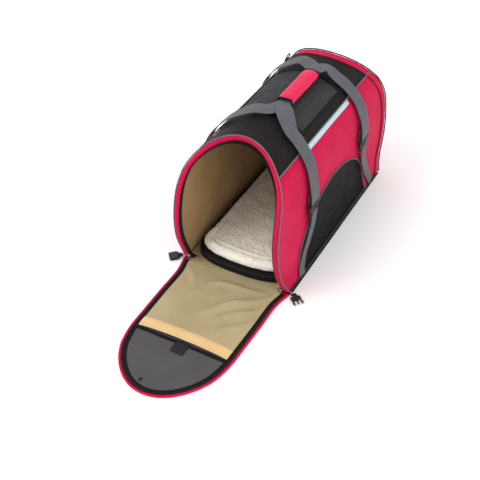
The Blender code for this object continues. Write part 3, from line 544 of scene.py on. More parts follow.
def sweep_data(path: Array, across: Array, out: Array, profile: Array, closed: bool = False
               ) -> tuple[Array, list, list]:
    """Sweep a closed profile along a path.

    Args:
        path: (N, 3) points of the path.
        across: (N, 3) direction of the profile's first coordinate.
        out: (N, 3) direction of its second coordinate.
        profile: (M, 2) or (N, M, 2) profile in metres.
        closed: whether the path joins up with its start.

    Returns:
        Points, faces and the faces' cloth coordinates.
    """
    count = len(path)
    shape = np.broadcast_to(profile, (count, *np.shape(profile)[-2:]))
    sides = shape.shape[1]
    verts = (path[:, None] + shape[..., :1] * across[:, None] + shape[..., 1:] * out[:, None])
    ring = np.concatenate([[0.0], np.cumsum(np.linalg.norm(
        np.roll(shape[0], -1, 0) - shape[0], axis=1))])
    loop = np.vstack([path, path[:1]]) if closed else path
    along = np.concatenate([[0.0], np.cumsum(np.linalg.norm(np.diff(loop, axis=0), axis=1))])
    faces, corners = [], []
    for i in range(count if closed else count - 1):
        k = (i + 1) % count
        for j in range(sides):
            m = (j + 1) % sides
            faces.append((i * sides + j, i * sides + m, k * sides + m, k * sides + j))
            corners.append([(ring[j], along[i]), (ring[j + 1], along[i]),
                            (ring[j + 1], along[i + 1]), (ring[j], along[i + 1])])
    if not closed:
        faces.append(tuple(range(sides))[::-1])
        corners.append([tuple(shape[0][j]) for j in range(sides)][::-1])
        base = (count - 1) * sides
        faces.append(tuple(range(base, base + sides)))
        corners.append([tuple(shape[-1][j]) for j in range(sides)])
    return verts.reshape(-1, 3), faces, corners


def join_data(parts: Sequence[tuple[Array, list, list]]) -> tuple[Array, list, list]:
    """Put several meshes' points, faces and coordinates one after another.

    Args:
        parts: what sweep_data returned for each.

    Returns:
        The same three lists for all of them together, each turned outwards.
    """
    verts, faces, corners, base = [], [], [], 0
    for points, part_faces, part_corners in parts:
        volume = signed_volume(points, part_faces)
        turn = -1 if volume < 0 else 1
        verts.append(points)
        faces += [tuple(i + base for i in face[::turn]) for face in part_faces]
        corners += [uv[::turn] for uv in part_corners]
        base += len(points)
    return np.concatenate(verts), faces, corners


def sweep(name: str, path: Array, across: Array, out: Array, profile: Array,
          material: bpy.types.Material, closed: bool = False) -> bpy.types.Object:
    """Sweep a closed profile along a path into an object; the arguments are sweep_data's."""
    return finish_mesh(name, *sweep_data(path, across, out, profile, closed), material)


def round_profile(radius: float, sides: int = 12, squash: float = 1.0) -> Array:
    """Return a round or oval profile of the given radius."""
    a = np.arange(sides) * 2 * math.pi / sides
    return np.stack([radius * np.cos(a), radius * squash * np.sin(a)], -1)


def flat_profile(width: float, thick: float, edge: float = 1.0, crown: float = 0.0,
                 across: int = 10) -> Array:
    """Profile of a strap or band: rounded edges and an optional crown on its outer face.

    Args:
        width: full width.
        thick: thickness at the middle of the edges.
        edge: thickness of the selvedge against the rest.
        crown: rise of the outer face at its middle.
        across: spans across each face.

    Returns:
        (M, 2) closed profile, anticlockwise.
    """
    t = np.linspace(-1, 1, across + 1)
    half, w = thick / 2, width / 2
    body = np.where(np.abs(t) > 0.84, edge, 1.0) * half
    trim = np.clip((1 - np.abs(t)) / 0.05, 0.35, 1.0)
    top = np.stack([t * w, body * trim + crown * (1 - t * t)], -1)
    low = np.stack([t[::-1] * w, -(body * trim)[::-1]], -1)
    return np.concatenate([low[::-1], top[::-1]])


def path_frames(path: Array, face: Array) -> tuple[Array, Array]:
    """Directions across a path and out of it.

    Args:
        path: (N, 3) points.
        face: (N, 3) or (3,) wished direction out of the path.

    Returns:
        Across and out directions, both (N, 3) and square to the path.
    """
    tangent = np.gradient(path, axis=0)
    tangent = unit(tangent)
    wish = np.broadcast_to(face, path.shape)
    out = wish - tangent * (wish * tangent).sum(1, keepdims=True)
    out = unit(out)
    return np.cross(tangent, out), out


def cord_along(name: str, path: Array, radius: float, face: Array,
               material: bpy.types.Material, sides: int = 10) -> bpy.types.Object:
    """Sew a round piping cord along a path, very slightly uneven as real piping is."""
    across, out = path_frames(path, face)
    run = np.concatenate([[0.0], np.cumsum(np.linalg.norm(np.diff(path, axis=0), axis=1))])
    swell = 1 + 0.05 * np.sin(run * 310.0) + 0.04 * np.sin(run * 173.0 + 1.3)
    profile = round_profile(radius, sides)[None] * swell[:, None, None]
    return sweep(name, path, across, out, profile, material)


def ripple(u: Array, v: Array, scale: float, seed: int) -> Array:
    """Slow unevenness of soft cloth, between about -1 and 1, the same on every run.

    Args:
        u: first cloth coordinate, metres.
        v: second cloth coordinate, metres.
        scale: rough size of a hump, metres.
        seed: which pattern.

    Returns:
        Height at each place.
    """
    rng = np.random.default_rng(seed)
    total = np.zeros(np.broadcast(u, v).shape)
    for _ in range(9):
        turn, phase = rng.uniform(0, 2 * math.pi, 2)
        k = rng.uniform(0.55, 1.7) * 2 * math.pi / scale
        total += np.sin(k * (math.cos(turn) * u + math.sin(turn) * v) + phase)
    return total / 4.2


def tuck(distance: Array, reach: float) -> Array:
    """How far cloth is drawn in near a seam: 1 on the seam, 0 beyond its reach."""
    return np.exp(-(np.abs(distance) / reach) ** 1.5)


def bake(obj: bpy.types.Object, name: str) -> bpy.types.Object:
    """Turn an object's evaluated modifiers into a plain mesh and drop the original.

    Args:
        obj: the object with live modifiers.
        name: name of the result.

    Returns:
        The plain object.
    """
    bpy.context.view_layer.update()
    graph = bpy.context.evaluated_depsgraph_get()
    mesh = bpy.data.meshes.new_from_object(obj.evaluated_get(graph), depsgraph=graph,
                                           preserve_all_data_layers=True)
    bpy.data.objects.remove(obj, do_unlink=True)
    made = bpy.data.objects.new(name, mesh)
    mesh.name = name
    to_scene(made)
    return made


def cut_with(obj: bpy.types.Object, cutter: bpy.types.Object) -> bpy.types.Object:
    """Cut one object's volume out of another and drop the cutter.

    Args:
        obj: the piece to cut.
        cutter: the volume that goes.

    Returns:
        The cut piece, under its old name.
    """
    name = obj.name
    cutter.name = "cutter_volume"
    mod = obj.modifiers.new("opening", "BOOLEAN")
    mod.operation, mod.solver, mod.object = "DIFFERENCE", "EXACT", cutter
    obj.name = name + "_uncut"
    made = bake(obj, name)
    bpy.data.objects.remove(cutter, do_unlink=True)
    made.data.shade_smooth()
    made.data.set_sharp_from_angle(angle=math.radians(55))
    return made


class RunOfPieces:
    """Geometry Nodes tree that lays one small rounded piece again and again along a path.

    Stitches, zip coil turns and teeth are all laid with it. Each place on the path carries the
    direction out of the cloth, so that every piece lies flat on the surface.
    """

    INPUTS = (("Pitch", "NodeSocketFloat", 0.004), ("Along", "NodeSocketFloat", 0.0028),
              ("Across", "NodeSocketFloat", 0.0007), ("Height", "NodeSocketFloat", 0.0006),
              ("Sides", "NodeSocketInt", 6), ("Rings", "NodeSocketInt", 4),
              ("Finish", "NodeSocketMaterial", None))

    def __init__(self) -> None:
        """Build the tree."""
        tree = bpy.data.node_groups.new("run_of_pieces", "GeometryNodeTree")
        face = tree.interface
        face.new_socket("Geometry", in_out="INPUT", socket_type="NodeSocketGeometry")
        self.identifiers: dict[str, str] = {}
        for name, kind, value in self.INPUTS:
            socket = face.new_socket(name, in_out="INPUT", socket_type=kind)
            if value is not None:
                socket.default_value = value
            self.identifiers[name] = socket.identifier
        face.new_socket("Geometry", in_out="OUTPUT", socket_type="NodeSocketGeometry")
        given = add_node(tree, "NodeGroupInput").outputs
        curve = add_node(tree, "GeometryNodeMeshToCurve", None, {"Mesh": given["Geometry"]})
        spaced = add_node(tree, "GeometryNodeResampleCurve", {"mode": "LENGTH"},
                          {"Curve": curve.outputs[0], "Length": given["Pitch"]})
        out = add_node(tree, "GeometryNodeInputNamedAttribute", {"data_type": "FLOAT_VECTOR"},
                       {"Name": "out"})
        tangent = add_node(tree, "GeometryNodeInputTangent")
        turn = add_node(tree, "FunctionNodeAxesToRotation",
                        {"primary_axis": "Z", "secondary_axis": "X"},
                        {"Primary Axis": out.outputs["Attribute"],
                         "Secondary Axis": tangent.outputs[0]})
        ball = add_node(tree, "GeometryNodeMeshUVSphere", None,
                        {"Segments": given["Sides"], "Rings": given["Rings"], "Radius": 0.5})
        size = add_node(tree, "ShaderNodeCombineXYZ", None,
                        {"X": given["Along"], "Y": given["Across"], "Z": given["Height"]})
        piece = add_node(tree, "GeometryNodeTransform", None,
                         {"Geometry": ball.outputs["Mesh"], "Scale": size.outputs[0]})
        laid = add_node(tree, "GeometryNodeInstanceOnPoints", None,
                        {"Points": spaced.outputs[0], "Instance": piece.outputs[0],
                         "Rotation": turn.outputs[0]})
        real = add_node(tree, "GeometryNodeRealizeInstances", None, {0: laid.outputs[0]})
        shaded = add_node(tree, "GeometryNodeSetShadeSmooth", None, {0: real.outputs[0]})
        dressed = add_node(tree, "GeometryNodeSetMaterial", None,
                           {0: shaded.outputs[0], "Material": given["Finish"]})
        add_node(tree, "NodeGroupOutput", None, {0: dressed.outputs[0]})
        self.tree = tree

    def lay(self, name: str, lines: Sequence[tuple[Array, Array]], finish: bpy.types.Material,
            pitch: float, along: float, across: float, height: float) -> bpy.types.Object:
        """Lay the piece along some lines and return the plain mesh.

        Args:
            name: name of the result.
            lines: for each line its (N, 3) points and (N, 3) directions out of the cloth.
            finish: the finish of every piece.
            pitch: distance from one to the next.
            along: size along the line.
            across: size across the line.
            height: size out of the cloth.

        Returns:
            One object that holds all of them.
        """
        points = np.concatenate([line for line, _ in lines])
        outs = np.concatenate([np.broadcast_to(o, line.shape) for line, o in lines])
        edges, base = [], 0
        for line, _ in lines:
            edges += [(base + i, base + i + 1) for i in range(len(line) - 1)]
            base += len(line)
        mesh = bpy.data.meshes.new(name + "_line")
        mesh.from_pydata(points.tolist(), edges, [])
        mesh.attributes.new("out", "FLOAT_VECTOR", "POINT").data.foreach_set(
            "vector", outs.astype(np.float32).ravel())
        line_object = bpy.data.objects.new(name + "_line", mesh)
        to_scene(line_object)
        mod = line_object.modifiers.new("run", "NODES")
        mod.node_group = self.tree
        for key, value in (("Pitch", pitch), ("Along", along), ("Across", across),
                           ("Height", height), ("Finish", finish)):
            mod[self.identifiers[key]] = value
        made = bake(line_object, name)
        if not made.data.materials:
            made.data.materials.append(finish)
        return made


def attach(piece: bpy.types.Object, body: str, slot: str, *nodes: str) -> bpy.types.Object:
    """Let a finished piece ride on a body, and hide the CAD nodes that it replaces.

    Args:
        piece: the finished piece.
        body: the CAD body that carries it.
        slot: the record's material slot; not used.
        nodes: CAD nodes that it replaces.

    Returns:
        The piece.
    """
    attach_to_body(piece, body)
    if nodes:
        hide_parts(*nodes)
    LOG.info("%s: %d faces on %s", piece.name, len(piece.data.polygons), body)
    return piece


def bend(piece: bpy.types.Object, bodies: tuple[str, str], start: Sequence[float],
         end: Sequence[float], slot: str, *nodes: str) -> bpy.types.Object:
    """Bake a finished piece's placement into its mesh, log the two bodies it lies between and hide
    the CAD nodes that it replaces.

    Args:
        piece: the finished piece.
        bodies: the two bodies on either side of it; only logged.
        start: where it leaves the first body; not used.
        end: where it has joined the second; not used.
        slot: the record's material slot; not used.
        nodes: CAD nodes that it replaces.

    Returns:
        The piece.
    """
    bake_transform(piece)
    if nodes:
        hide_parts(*nodes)
    LOG.info("%s: %d faces between %s and %s", piece.name, len(piece.data.polygons), *bodies)
    return piece


# ------------------------------------------------------------------ the bag's form
GAP = 0.0003
SKIN = 0.0024


@dataclass
class Outline:
    """The arched outline of the bag, and the two bowed rims that it is swept between."""

    length: float = 0.512
    height: float = 0.345
    widths: tuple = ((0.0, 0.137), (0.12, 0.1275), (0.30, 0.1270), (0.50, 0.1255),
                     (0.66, 0.1235), (0.78, 0.1145), (0.85, 0.1010))
    arch_round: float = 0.290
    arch_taper: float = 0.193
    front_lean: float = 0.048
    front_bow: float = 0.0705
    rear_lean: float = -0.056
    rear_bow: float = 0.0700
    seam_at: float = 0.862
    curve: Array = field(init=False)
    run: Array = field(init=False)

    def __post_init__(self) -> None:
        """Work out the outline and its length."""
        side = [(w, t * self.height) for t, w in self.widths]
        shoulder = self.widths[-1][0]
        arch = []
        for k in range(1, 7):
            left = (1 - shoulder) * math.cos(k / 6 * math.pi / 2) ** 2
            arch.append(((self.arch_round - self.arch_taper * left) * math.sqrt(left),
                         (1 - left) * self.height))
        half = side + arch
        self.curve = smooth(np.array(half + [(-x, z) for x, z in reversed(half[:-1])]), 12)
        steps = np.hypot(*np.diff(self.curve, axis=0).T)
        self.run = np.concatenate([[0.0], np.cumsum(steps)])
        self.total = float(self.run[-1])
        self.seam = self.run_at_height(self.seam_at * self.height)

    def run_at_height(self, z: float) -> float:
        """Run along the right half of the outline at a height."""
        half = len(self.curve) // 2 + 1
        return float(np.interp(z, self.curve[:half, 1], self.run[:half]))

    def run_at_x(self, x: float) -> float:
        """Run along the arch at an x between the shoulders."""
        inside = (self.run > self.seam) & (self.run < self.total - self.seam)
        return float(np.interp(-x, -self.curve[inside, 0], self.run[inside]))

    def half_width(self, z: Array) -> Array:
        """Half width of the outline at a height."""
        half = len(self.curve) // 2 + 1
        return np.interp(z, self.curve[:half, 1], self.curve[:half, 0])

    def section(self, runs: Array) -> tuple[Array, Array]:
        """Points (x, z) and outward normals (x, z) of the outline at some runs."""
        runs = np.asarray(runs, float)
        at = [np.stack([np.interp(np.clip(runs + h, 0, self.total), self.run, self.curve[:, i])
                        for i in (0, 1)], -1) for h in (0.0, -0.0015, 0.0015)]
        tangent = at[2] - at[1]
        tangent /= np.linalg.norm(tangent, axis=-1, keepdims=True)
        return at[0], np.stack([tangent[..., 1], -tangent[..., 0]], -1)

    def front(self, z: Array) -> Array:
        """Y of the front rim at a height."""
        t = z / self.height
        return -self.length / 2 + self.front_lean * t - self.front_bow * 4 * t * (1 - t)

    def rear(self, z: Array) -> Array:
        """Y of the rear rim at a height."""
        t = z / self.height
        return self.length / 2 + self.rear_lean * t + self.rear_bow * 4 * t * (1 - t)

    def place(self, runs: Array, ys: Array, offset: Array) -> Array:
        """Points at some runs and ys, off the skin by an offset, all of one shape."""
        p, n = self.section(runs)
        q = p + n * np.broadcast_to(offset, np.shape(runs))[..., None]
        return np.stack([q[..., 0], np.broadcast_to(ys, np.shape(runs)), q[..., 1]], -1)

    def grid(self, start: float, end: float, front_gap: float, rear_gap: float,
             rows: int, cols: int) -> tuple[Array, Array]:
        """Runs and ys of a patch between the two rims.

        Args:
            start: first run.
            end: last run.
            front_gap: how far behind the front rim it begins.
            rear_gap: how far before the rear rim it ends.
            rows: points along the outline.
            cols: points from front to rear.

        Returns:
            Runs and ys, both (rows, cols).
        """
        runs = np.linspace(start, end, rows)[:, None].repeat(cols, 1)
        z = self.section(runs[:, 0])[0][:, 1]
        share = np.linspace(0, 1, cols)[None]
        first = (self.front(z) + front_gap)[:, None]
        last = (self.rear(z) - rear_gap)[:, None]
        return runs, first + (last - first) * share

    def rim_path(self, front: bool, offset: float, shift: float, start: float, count: int
                 ) -> tuple[Array, Array]:
        """Path round a rim.

        Args:
            front: whether it is the front rim.
            offset: how far out of the skin.
            shift: how far into the bag from the rim.
            start: run at which it starts above the base, on both sides.
            count: number of points.

        Returns:
            Points and the skin's outward directions, both (count, 3).
        """
        runs = np.linspace(start, self.total - start, count)
        p, n = self.section(runs)
        ys = self.front(p[:, 1]) + shift if front else self.rear(p[:, 1]) - shift
        q = p + n * offset
        return (np.stack([q[:, 0], ys, q[:, 1]], -1),
                np.stack([n[:, 0], np.zeros(count), n[:, 1]], -1))


def smooth(points: Array, per_span: int) -> Array:
    """A smooth curve through points, with per_span steps between neighbours."""
    pts = np.vstack([2 * points[0] - points[1], points, 2 * points[-1] - points[-2]])
    out = []
    for i in range(1, len(pts) - 2):
        p0, p1, p2, p3 = pts[i - 1:i + 3]
        for k in range(per_span):
            t = k / per_span
            out.append(0.5 * (2 * p1 + (p2 - p0) * t + (2 * p0 - 5 * p1 + 4 * p2 - p3) * t * t
                              + (3 * p1 - p0 - 3 * p2 + p3) * t ** 3))
    out.append(pts[-2])
    return np.array(out)


# ------------------------------------------------------------------ shell
def stack_grid(runs: Array, ys: Array) -> Array:
    """Cloth coordinates of a patch: its run and its y, in metres."""
    return np.stack([runs, ys], -1)


@dataclass
class Window:
    """Arched mesh window in the right wall."""

    middle: float = -0.018
    half: float = 0.186
    foot: float = 0.0078
    top: float = 0.172
    fold_mm: float = 3.2

    def arch(self, count: int, grow: float = 0.0) -> Array:
        """(y, z) points of the arch from rear foot over the top to front foot."""
        a = np.linspace(0, math.pi, count)
        rise = self.top - self.foot + 2 * grow
        return np.stack([self.middle + (self.half + grow) * np.cos(a),
                         self.foot - grow + rise * np.sin(a) ** 0.9], -1)

    def cutter(self) -> bpy.types.Object:
        """Arch-shaped volume that passes through the right wall and its lining."""
        arch = self.arch(81)
        loops = [np.column_stack([np.full(len(arch), x), arch]) for x in (0.085, 0.175)]
        verts = np.concatenate(loops)
        n = len(arch)
        faces = [tuple(range(n)), tuple(range(n, 2 * n))[::-1]]
        faces += [(k, (k + 1) % n, n + (k + 1) % n, n + k)[::-1] for k in range(n)]
        corners = [[(0.0, 0.0)] * len(face) for face in faces]
        return finish_mesh("window_volume", verts, faces, corners,
                           bpy.data.materials["magenta_polyester_600d"])


@dataclass
class Shell:
    """Walls, roof, rear end, lining, window mesh and the strips on the roof."""

    form: Outline
    finishes: Finishes
    window: Window = field(default_factory=Window)
    wall_start: float = 0.0048
    lining_start: float = 0.0085
    gusset: float = 0.0240
    sag_mm: float = 0.55
    step: float = 0.0052

    def wall_offset(self, runs: Array, ys: Array, seed: int) -> Array:
        """Offset of the outer cloth from its smooth form: slow humps, drawn in at the seams."""
        z = self.form.section(runs)[0][..., 1]
        ends = np.minimum(ys - self.form.front(z), self.form.rear(z) - self.gusset - ys)
        seams = np.minimum(np.abs(runs - self.form.seam),
                           np.abs(self.form.total - self.form.seam - runs))
        lift = self.sag_mm / 1000 * ripple(runs, ys, 0.11, seed)
        lift += 0.00022 * ripple(runs, ys, 0.03, seed + 50)
        lift -= 0.0011 * tuck(ends, 0.010) + 0.0009 * tuck(seams, 0.008)
        return np.minimum(lift, 0.0009)

    def build_walls(self, run_of: RunOfPieces) -> None:
        """Both side walls and the window mesh, its piping and its stitches."""
        form = self.form
        rows = int((form.seam - self.wall_start) / self.step)
        for sign, side in ((1, "right"), (-1, "left")):
            start, end = self.wall_start, form.seam - GAP / 2
            if sign < 0:
                start, end = form.total - end, form.total - start
            runs, ys = form.grid(start, end, 0.0025, self.gusset + GAP, rows, 96)
            lift = self.wall_offset(runs, ys, 3 if sign > 0 else 4)
            wall = slab(f"side_wall_{side}", form.place(runs, ys, lift),
                        form.place(runs, ys, lift - SKIN), stack_grid(runs, ys),
                        self.finishes.magenta)
            if sign > 0:
                wall = cut_with(wall, self.window.cutter())
            attach(wall, "bag", "magenta_nylon", f"side_panel_{side}")
        self.build_window(run_of)

    def build_window(self, run_of: RunOfPieces) -> None:
        """Mesh of the window with its slack folds, the piping and two rows of stitches."""
        form, window = self.form, self.window
        arch = window.arch(121, -0.0004)[3:-3]
        share = np.linspace(0, 1, 34)[:, None]
        z = window.foot + 0.0004 + (arch[None, :, 1] - window.foot - 0.0004) * share
        ys = np.broadcast_to(arch[None, :, 0], z.shape)
        runs = np.vectorize(form.run_at_height)(z)
        edge = np.minimum(np.minimum(share, 1 - share) * (arch[None, :, 1] - window.foot),
                          window.half - np.abs(ys - window.middle))
        slack = 1 - tuck(edge, 0.022)
        crease = np.exp(-((z - 0.062 - 0.26 * (ys - window.middle)) / 0.006) ** 2)
        crease += 0.7 * np.exp(-((z - 0.112 + 0.18 * (ys - window.middle)) / 0.007) ** 2)
        dip = slack * (0.0018 + window.fold_mm / 1000 * (0.45 * ripple(runs, ys, 0.09, 11)
                                                        - 0.8 * crease))
        offset = -0.0012 - np.clip(dip, 0.0, 0.006)
        net = slab("window_net", form.place(runs, ys, offset),
                   form.place(runs, ys, offset - 0.0006), stack_grid(runs, ys),
                   self.finishes.net)
        attach(net, "bag", "mesh_fabric", "window_mesh")
        line = window.arch(140, 0.001)
        at = np.array([form.run_at_height(z) for z in line[:, 1]])
        path = form.place(at, line[:, 0], 0.0019)
        normals = form.section(at)[1]
        out = outward(normals)
        piping = cord_along("window_arch_piping", path, 0.0015, out, self.finishes.piping)
        attach(piping, "bag", "grey_piping", "window_piping")
        rows = []
        for grow in (0.0042,):
            line = window.arch(140, grow)
            keep = line[:, 1] > 0.012
            line = line[keep]
            at = np.array([form.run_at_height(z) for z in line[:, 1]])
            lift = self.wall_offset(at, line[:, 0], 3)
            normals = form.section(at)[1]
            rows.append((form.place(at, line[:, 0], lift + 0.0001),
                         outward(normals)))
        attach(run_of.lay("window_stitches", rows, self.finishes.thread, 0.0036, 0.0026,
                          0.0007, 0.0005), "bag", "magenta_nylon")

    def build_roof(self, run_of: RunOfPieces) -> None:
        """Black roof, the fine mesh panel on it, reflective strips and seam stitches."""
        form = self.form
        start, end = form.seam + GAP / 2, form.total - form.seam - GAP / 2
        runs, ys = form.grid(start, end, 0.0025, self.gusset + GAP, 62, 100)
        lift = self.roof_offset(runs, ys)
        roof = slab("roof_cloth", form.place(runs, ys, lift),
                    form.place(runs, ys, lift - SKIN), stack_grid(runs, ys),
                    self.finishes.black)
        attach(roof, "bag", "black_nylon", "roof_panel")
        first, last = form.run_at_x(0.082), form.run_at_x(-0.082)
        runs = np.linspace(first, last, 44)[:, None].repeat(60, 1)
        ys = np.linspace(-0.100, 0.092, 60)[None].repeat(44, 0)
        edge = np.minimum(np.minimum(runs - first, last - runs),
                          np.minimum(ys + 0.100, 0.092 - ys))
        puff = 0.0006 + 0.0016 * (1 - tuck(edge, 0.012)) * (0.6 + 0.5 * ripple(runs, ys, 0.05, 9))
        lift = self.roof_offset(runs, ys) + GAP
        panel = slab("roof_net_panel", form.place(runs, ys, lift + puff),
                     form.place(runs, ys, lift), stack_grid(runs, ys), self.finishes.roof_net)
        attach(panel, "bag", "mesh_fabric", "roof_mesh_panel")
        self.build_roof_binding(first, last, run_of)
        for sign, side in ((1, "right"), (-1, "left")):
            a, b = form.seam - 0.0130, form.seam - 0.0020
            if sign < 0:
                a, b = form.total - b, form.total - a
            runs = np.linspace(a, b, 7)[:, None].repeat(70, 1)
            ys = np.linspace(-0.112, 0.098, 70)[None].repeat(7, 0)
            lift = self.wall_offset(runs, ys, 3 if sign > 0 else 4) + GAP
            strip = slab(f"bead_strip_{side}", form.place(runs, ys, lift + 0.0006),
                         form.place(runs, ys, lift), stack_grid(runs, ys), self.finishes.beads)
            attach(strip, "bag", "reflective_tape", f"reflective_strip_{side}")

    def roof_offset(self, runs: Array, ys: Array) -> Array:
        """Offset of the roof cloth: loose folds that run with the bag and slack humps."""
        middle = self.form.total / 2
        lift = self.wall_offset(runs, ys, 7)
        across = runs - middle
        loose = 1 - tuck(np.minimum(ys - self.form.front(0.33 + 0 * ys),
                                    self.form.rear(0.33 + 0 * ys) - 0.024 - ys), 0.02)
        folds = 0.0010 * np.sin(across * 95 + 1.4 * np.sin(ys * 17)) * np.cos(ys * 11 + 0.6)
        crease = -0.0016 * np.exp(-((across + 0.052 + 0.05 * ys) / 0.004) ** 2)
        return np.minimum(lift + loose * (folds + crease), 0.0010)

    def build_roof_binding(self, first: float, last: float, run_of: RunOfPieces) -> None:
        """Narrow black binding round the roof's mesh panel, and its stitches."""
        form = self.form
        corners = [(first, -0.100), (last, -0.100), (last, 0.092), (first, 0.092),
                   (first, -0.100)]
        at, ys = [], []
        for (r0, y0), (r1, y1) in zip(corners, corners[1:]):
            t = np.linspace(0, 1, 48)[:-1]
            at.append(r0 + (r1 - r0) * t)
            ys.append(y0 + (y1 - y0) * t)
        at, ys = np.concatenate(at), np.concatenate(ys)
        lift = self.roof_offset(at, ys)
        normals = form.section(at)[1]
        out = outward(normals)
        path = form.place(at, ys, lift + 0.0012)
        across, out = path_frames(path, out)
        band = sweep("roof_panel_binding", path, across, out,
                     flat_profile(0.0085, 0.0014, 0.9, 0.0006, 6), self.finishes.tape, True)
        attach(band, "bag", "black_nylon")
        lines = [(form.place(at, ys, lift + 0.0024), out)]
        attach(run_of.lay("roof_panel_stitches", lines, self.finishes.dark_thread, 0.0034,
                          0.0024, 0.0007, 0.0005), "bag", "black_nylon")

    def build_rear(self, run_of: RunOfPieces) -> None:
        """Gusset band, pillowed rear wall and their stitches."""
        form = self.form
        runs = np.linspace(self.wall_start, form.total - self.wall_start, 170)
        z = form.section(runs)[0][:, 1]
        share = np.linspace(0, 1, 9)[None]
        near = form.rear(z)[:, None] - self.gusset
        far = form.rear(z)[:, None] - 0.0020
        ys = near + (far - near) * share
        grid = runs[:, None].repeat(9, 1)
        crown = 0.0010 * np.sin(math.pi * share) + 0.0003 * ripple(grid, ys, 0.04, 21)
        band = slab("rear_gusset_band", form.place(grid, ys, crown),
                    form.place(grid, ys, crown * 0 - SKIN), stack_grid(grid, ys),
                    self.finishes.magenta)
        attach(band, "bag", "magenta_nylon", "rear_gusset")
        half = np.linspace(self.wall_start, form.total / 2 - 0.0004, 74)
        p, n = form.section(half)
        p = p - n * GAP
        share = np.linspace(-1, 1, 61)[None]
        x = p[:, :1] * share
        z = np.broadcast_to(p[:, 1:], x.shape)
        edge = np.minimum((1 - np.abs(share)) * p[:, :1] + 0 * x, form.height - z)
        edge = np.minimum(edge, z - 0.003)
        pillow = 0.0065 * (1 - np.exp(-edge / 0.05)) + 0.0007 * ripple(x, z, 0.10, 31)
        channel = np.exp(-((edge - 0.016) / 0.0022) ** 2)
        y = form.rear(z) - 0.0009 + pillow - 0.0014 * channel
        outer = np.stack([x, y, z], -1)
        inner = np.stack([x, form.rear(z) - 0.0011 - 0.0010 + 0 * x, z], -1)
        wall = slab("rear_wall", outer, inner, np.stack([x, z], -1), self.finishes.magenta)
        attach(wall, "bag", "magenta_nylon", "rear_panel")
        lines = []
        for shift in (0.0062,):
            path, out = form.rim_path(False, 0.0012, shift, 0.010, 220)
            lines.append((path, out))
        path, out = form.rim_path(False, 0.0004, self.gusset - 0.0035, 0.010, 220)
        lines.append((path, out))
        attach(run_of.lay("gusset_stitches", lines, self.finishes.thread, 0.0036, 0.0026,
                          0.0007, 0.0005), "bag", "magenta_nylon")

    def build_lining(self, run_of: RunOfPieces) -> None:
        """Lining of walls and roof with its lengthwise seams, rear lining and floor lining."""
        form = self.form
        start, end = self.lining_start, form.total - self.lining_start
        runs, ys = form.grid(start, end, 0.0025, 0.0044, 150, 88)
        inward = self.lining_inward(runs, ys)
        lining = slab("lining_cloth", form.place(runs, ys, -0.0027 - inward * 0.35),
                      form.place(runs, ys, -0.0036 - inward), stack_grid(runs, ys),
                      self.finishes.lining)
        lining = cut_with(lining, self.window.cutter())
        attach(lining, "bag", "beige_lining", "lining_shell")
        half = np.linspace(self.lining_start, form.total / 2 - 0.006, 50)
        p, n = form.section(half)
        p = p - n * 0.0062
        share = np.linspace(-1, 1, 41)[None]
        x = p[:, :1] * share
        z = np.broadcast_to(p[:, 1:], x.shape)
        sag = 0.0012 + 0.0010 * ripple(x, z, 0.12, 41)
        y = form.rear(z) - 0.0050 - sag
        rear = slab("rear_lining_cloth", np.stack([x, y, z], -1),
                    np.stack([x, y + 0.0010, z], -1), np.stack([x, z], -1),
                    self.finishes.lining)
        attach(rear, "bag", "beige_lining", "rear_lining")
        x = np.linspace(-0.1296, 0.1296, 50)[:, None].repeat(96, 1)
        y = np.linspace(-0.2530, 0.2495, 96)[None].repeat(50, 0)
        top = 0.0041 + 0.0003 * ripple(x, y, 0.07, 43)
        floor = slab("floor_lining_cloth", np.stack([x, y, top], -1),
                     np.stack([x, y, 0 * x + 0.0032], -1), np.stack([x, y], -1),
                     self.finishes.lining)
        attach(floor, "bag", "beige_lining", "floor_lining")
        lines = []
        for seam in (form.run_at_height(0.262), form.total - form.run_at_height(0.262)):
            line = np.linspace(-0.225, 0.255, 160)
            at = np.full(160, seam)
            normals = form.section(at)[1]
            out = -np.stack([normals[:, 0], np.zeros(160), normals[:, 1]], -1)
            inward = self.lining_inward(at, line)
            lines.append((form.place(at, line, -0.0037 - inward), out))
        attach(run_of.lay("lining_stitches", lines, self.finishes.sand_thread, 0.0036, 0.0026,
                          0.0007, 0.0005), "bag", "beige_lining")

    def lining_inward(self, runs: Array, ys: Array) -> Array:
        """How far the slack lining hangs into the cabin."""
        form = self.form
        z = form.section(runs)[0][..., 1]
        ends = np.minimum(ys - form.front(z), form.rear(z) - 0.004 - ys)
        loose = 1 - tuck(ends, 0.016)
        slack = 0.0013 + 0.0012 * ripple(runs, ys, 0.13, 5) + 0.0004 * ripple(runs, ys, 0.04, 6)
        seam = 0.0
        for at in (form.run_at_height(0.262), form.total - form.run_at_height(0.262)):
            seam = seam + 0.0014 * tuck(runs - at, 0.010)
        window = tuck(np.maximum(0, z - self.window.top), 0.02) * (runs < form.total / 2)
        return np.clip(loose * slack - seam, 0.0, 0.004) * (1 - 0.8 * window)

    def build(self, run_of: RunOfPieces) -> None:
        """Build and dress the whole shell."""
        self.build_walls(run_of)
        self.build_roof(run_of)
        self.build_rear(run_of)
        self.build_lining(run_of)
        base = frame["nodes"]["base_panel"]
        base.data.materials.clear()
        base.data.materials.append(self.finishes.black_base)


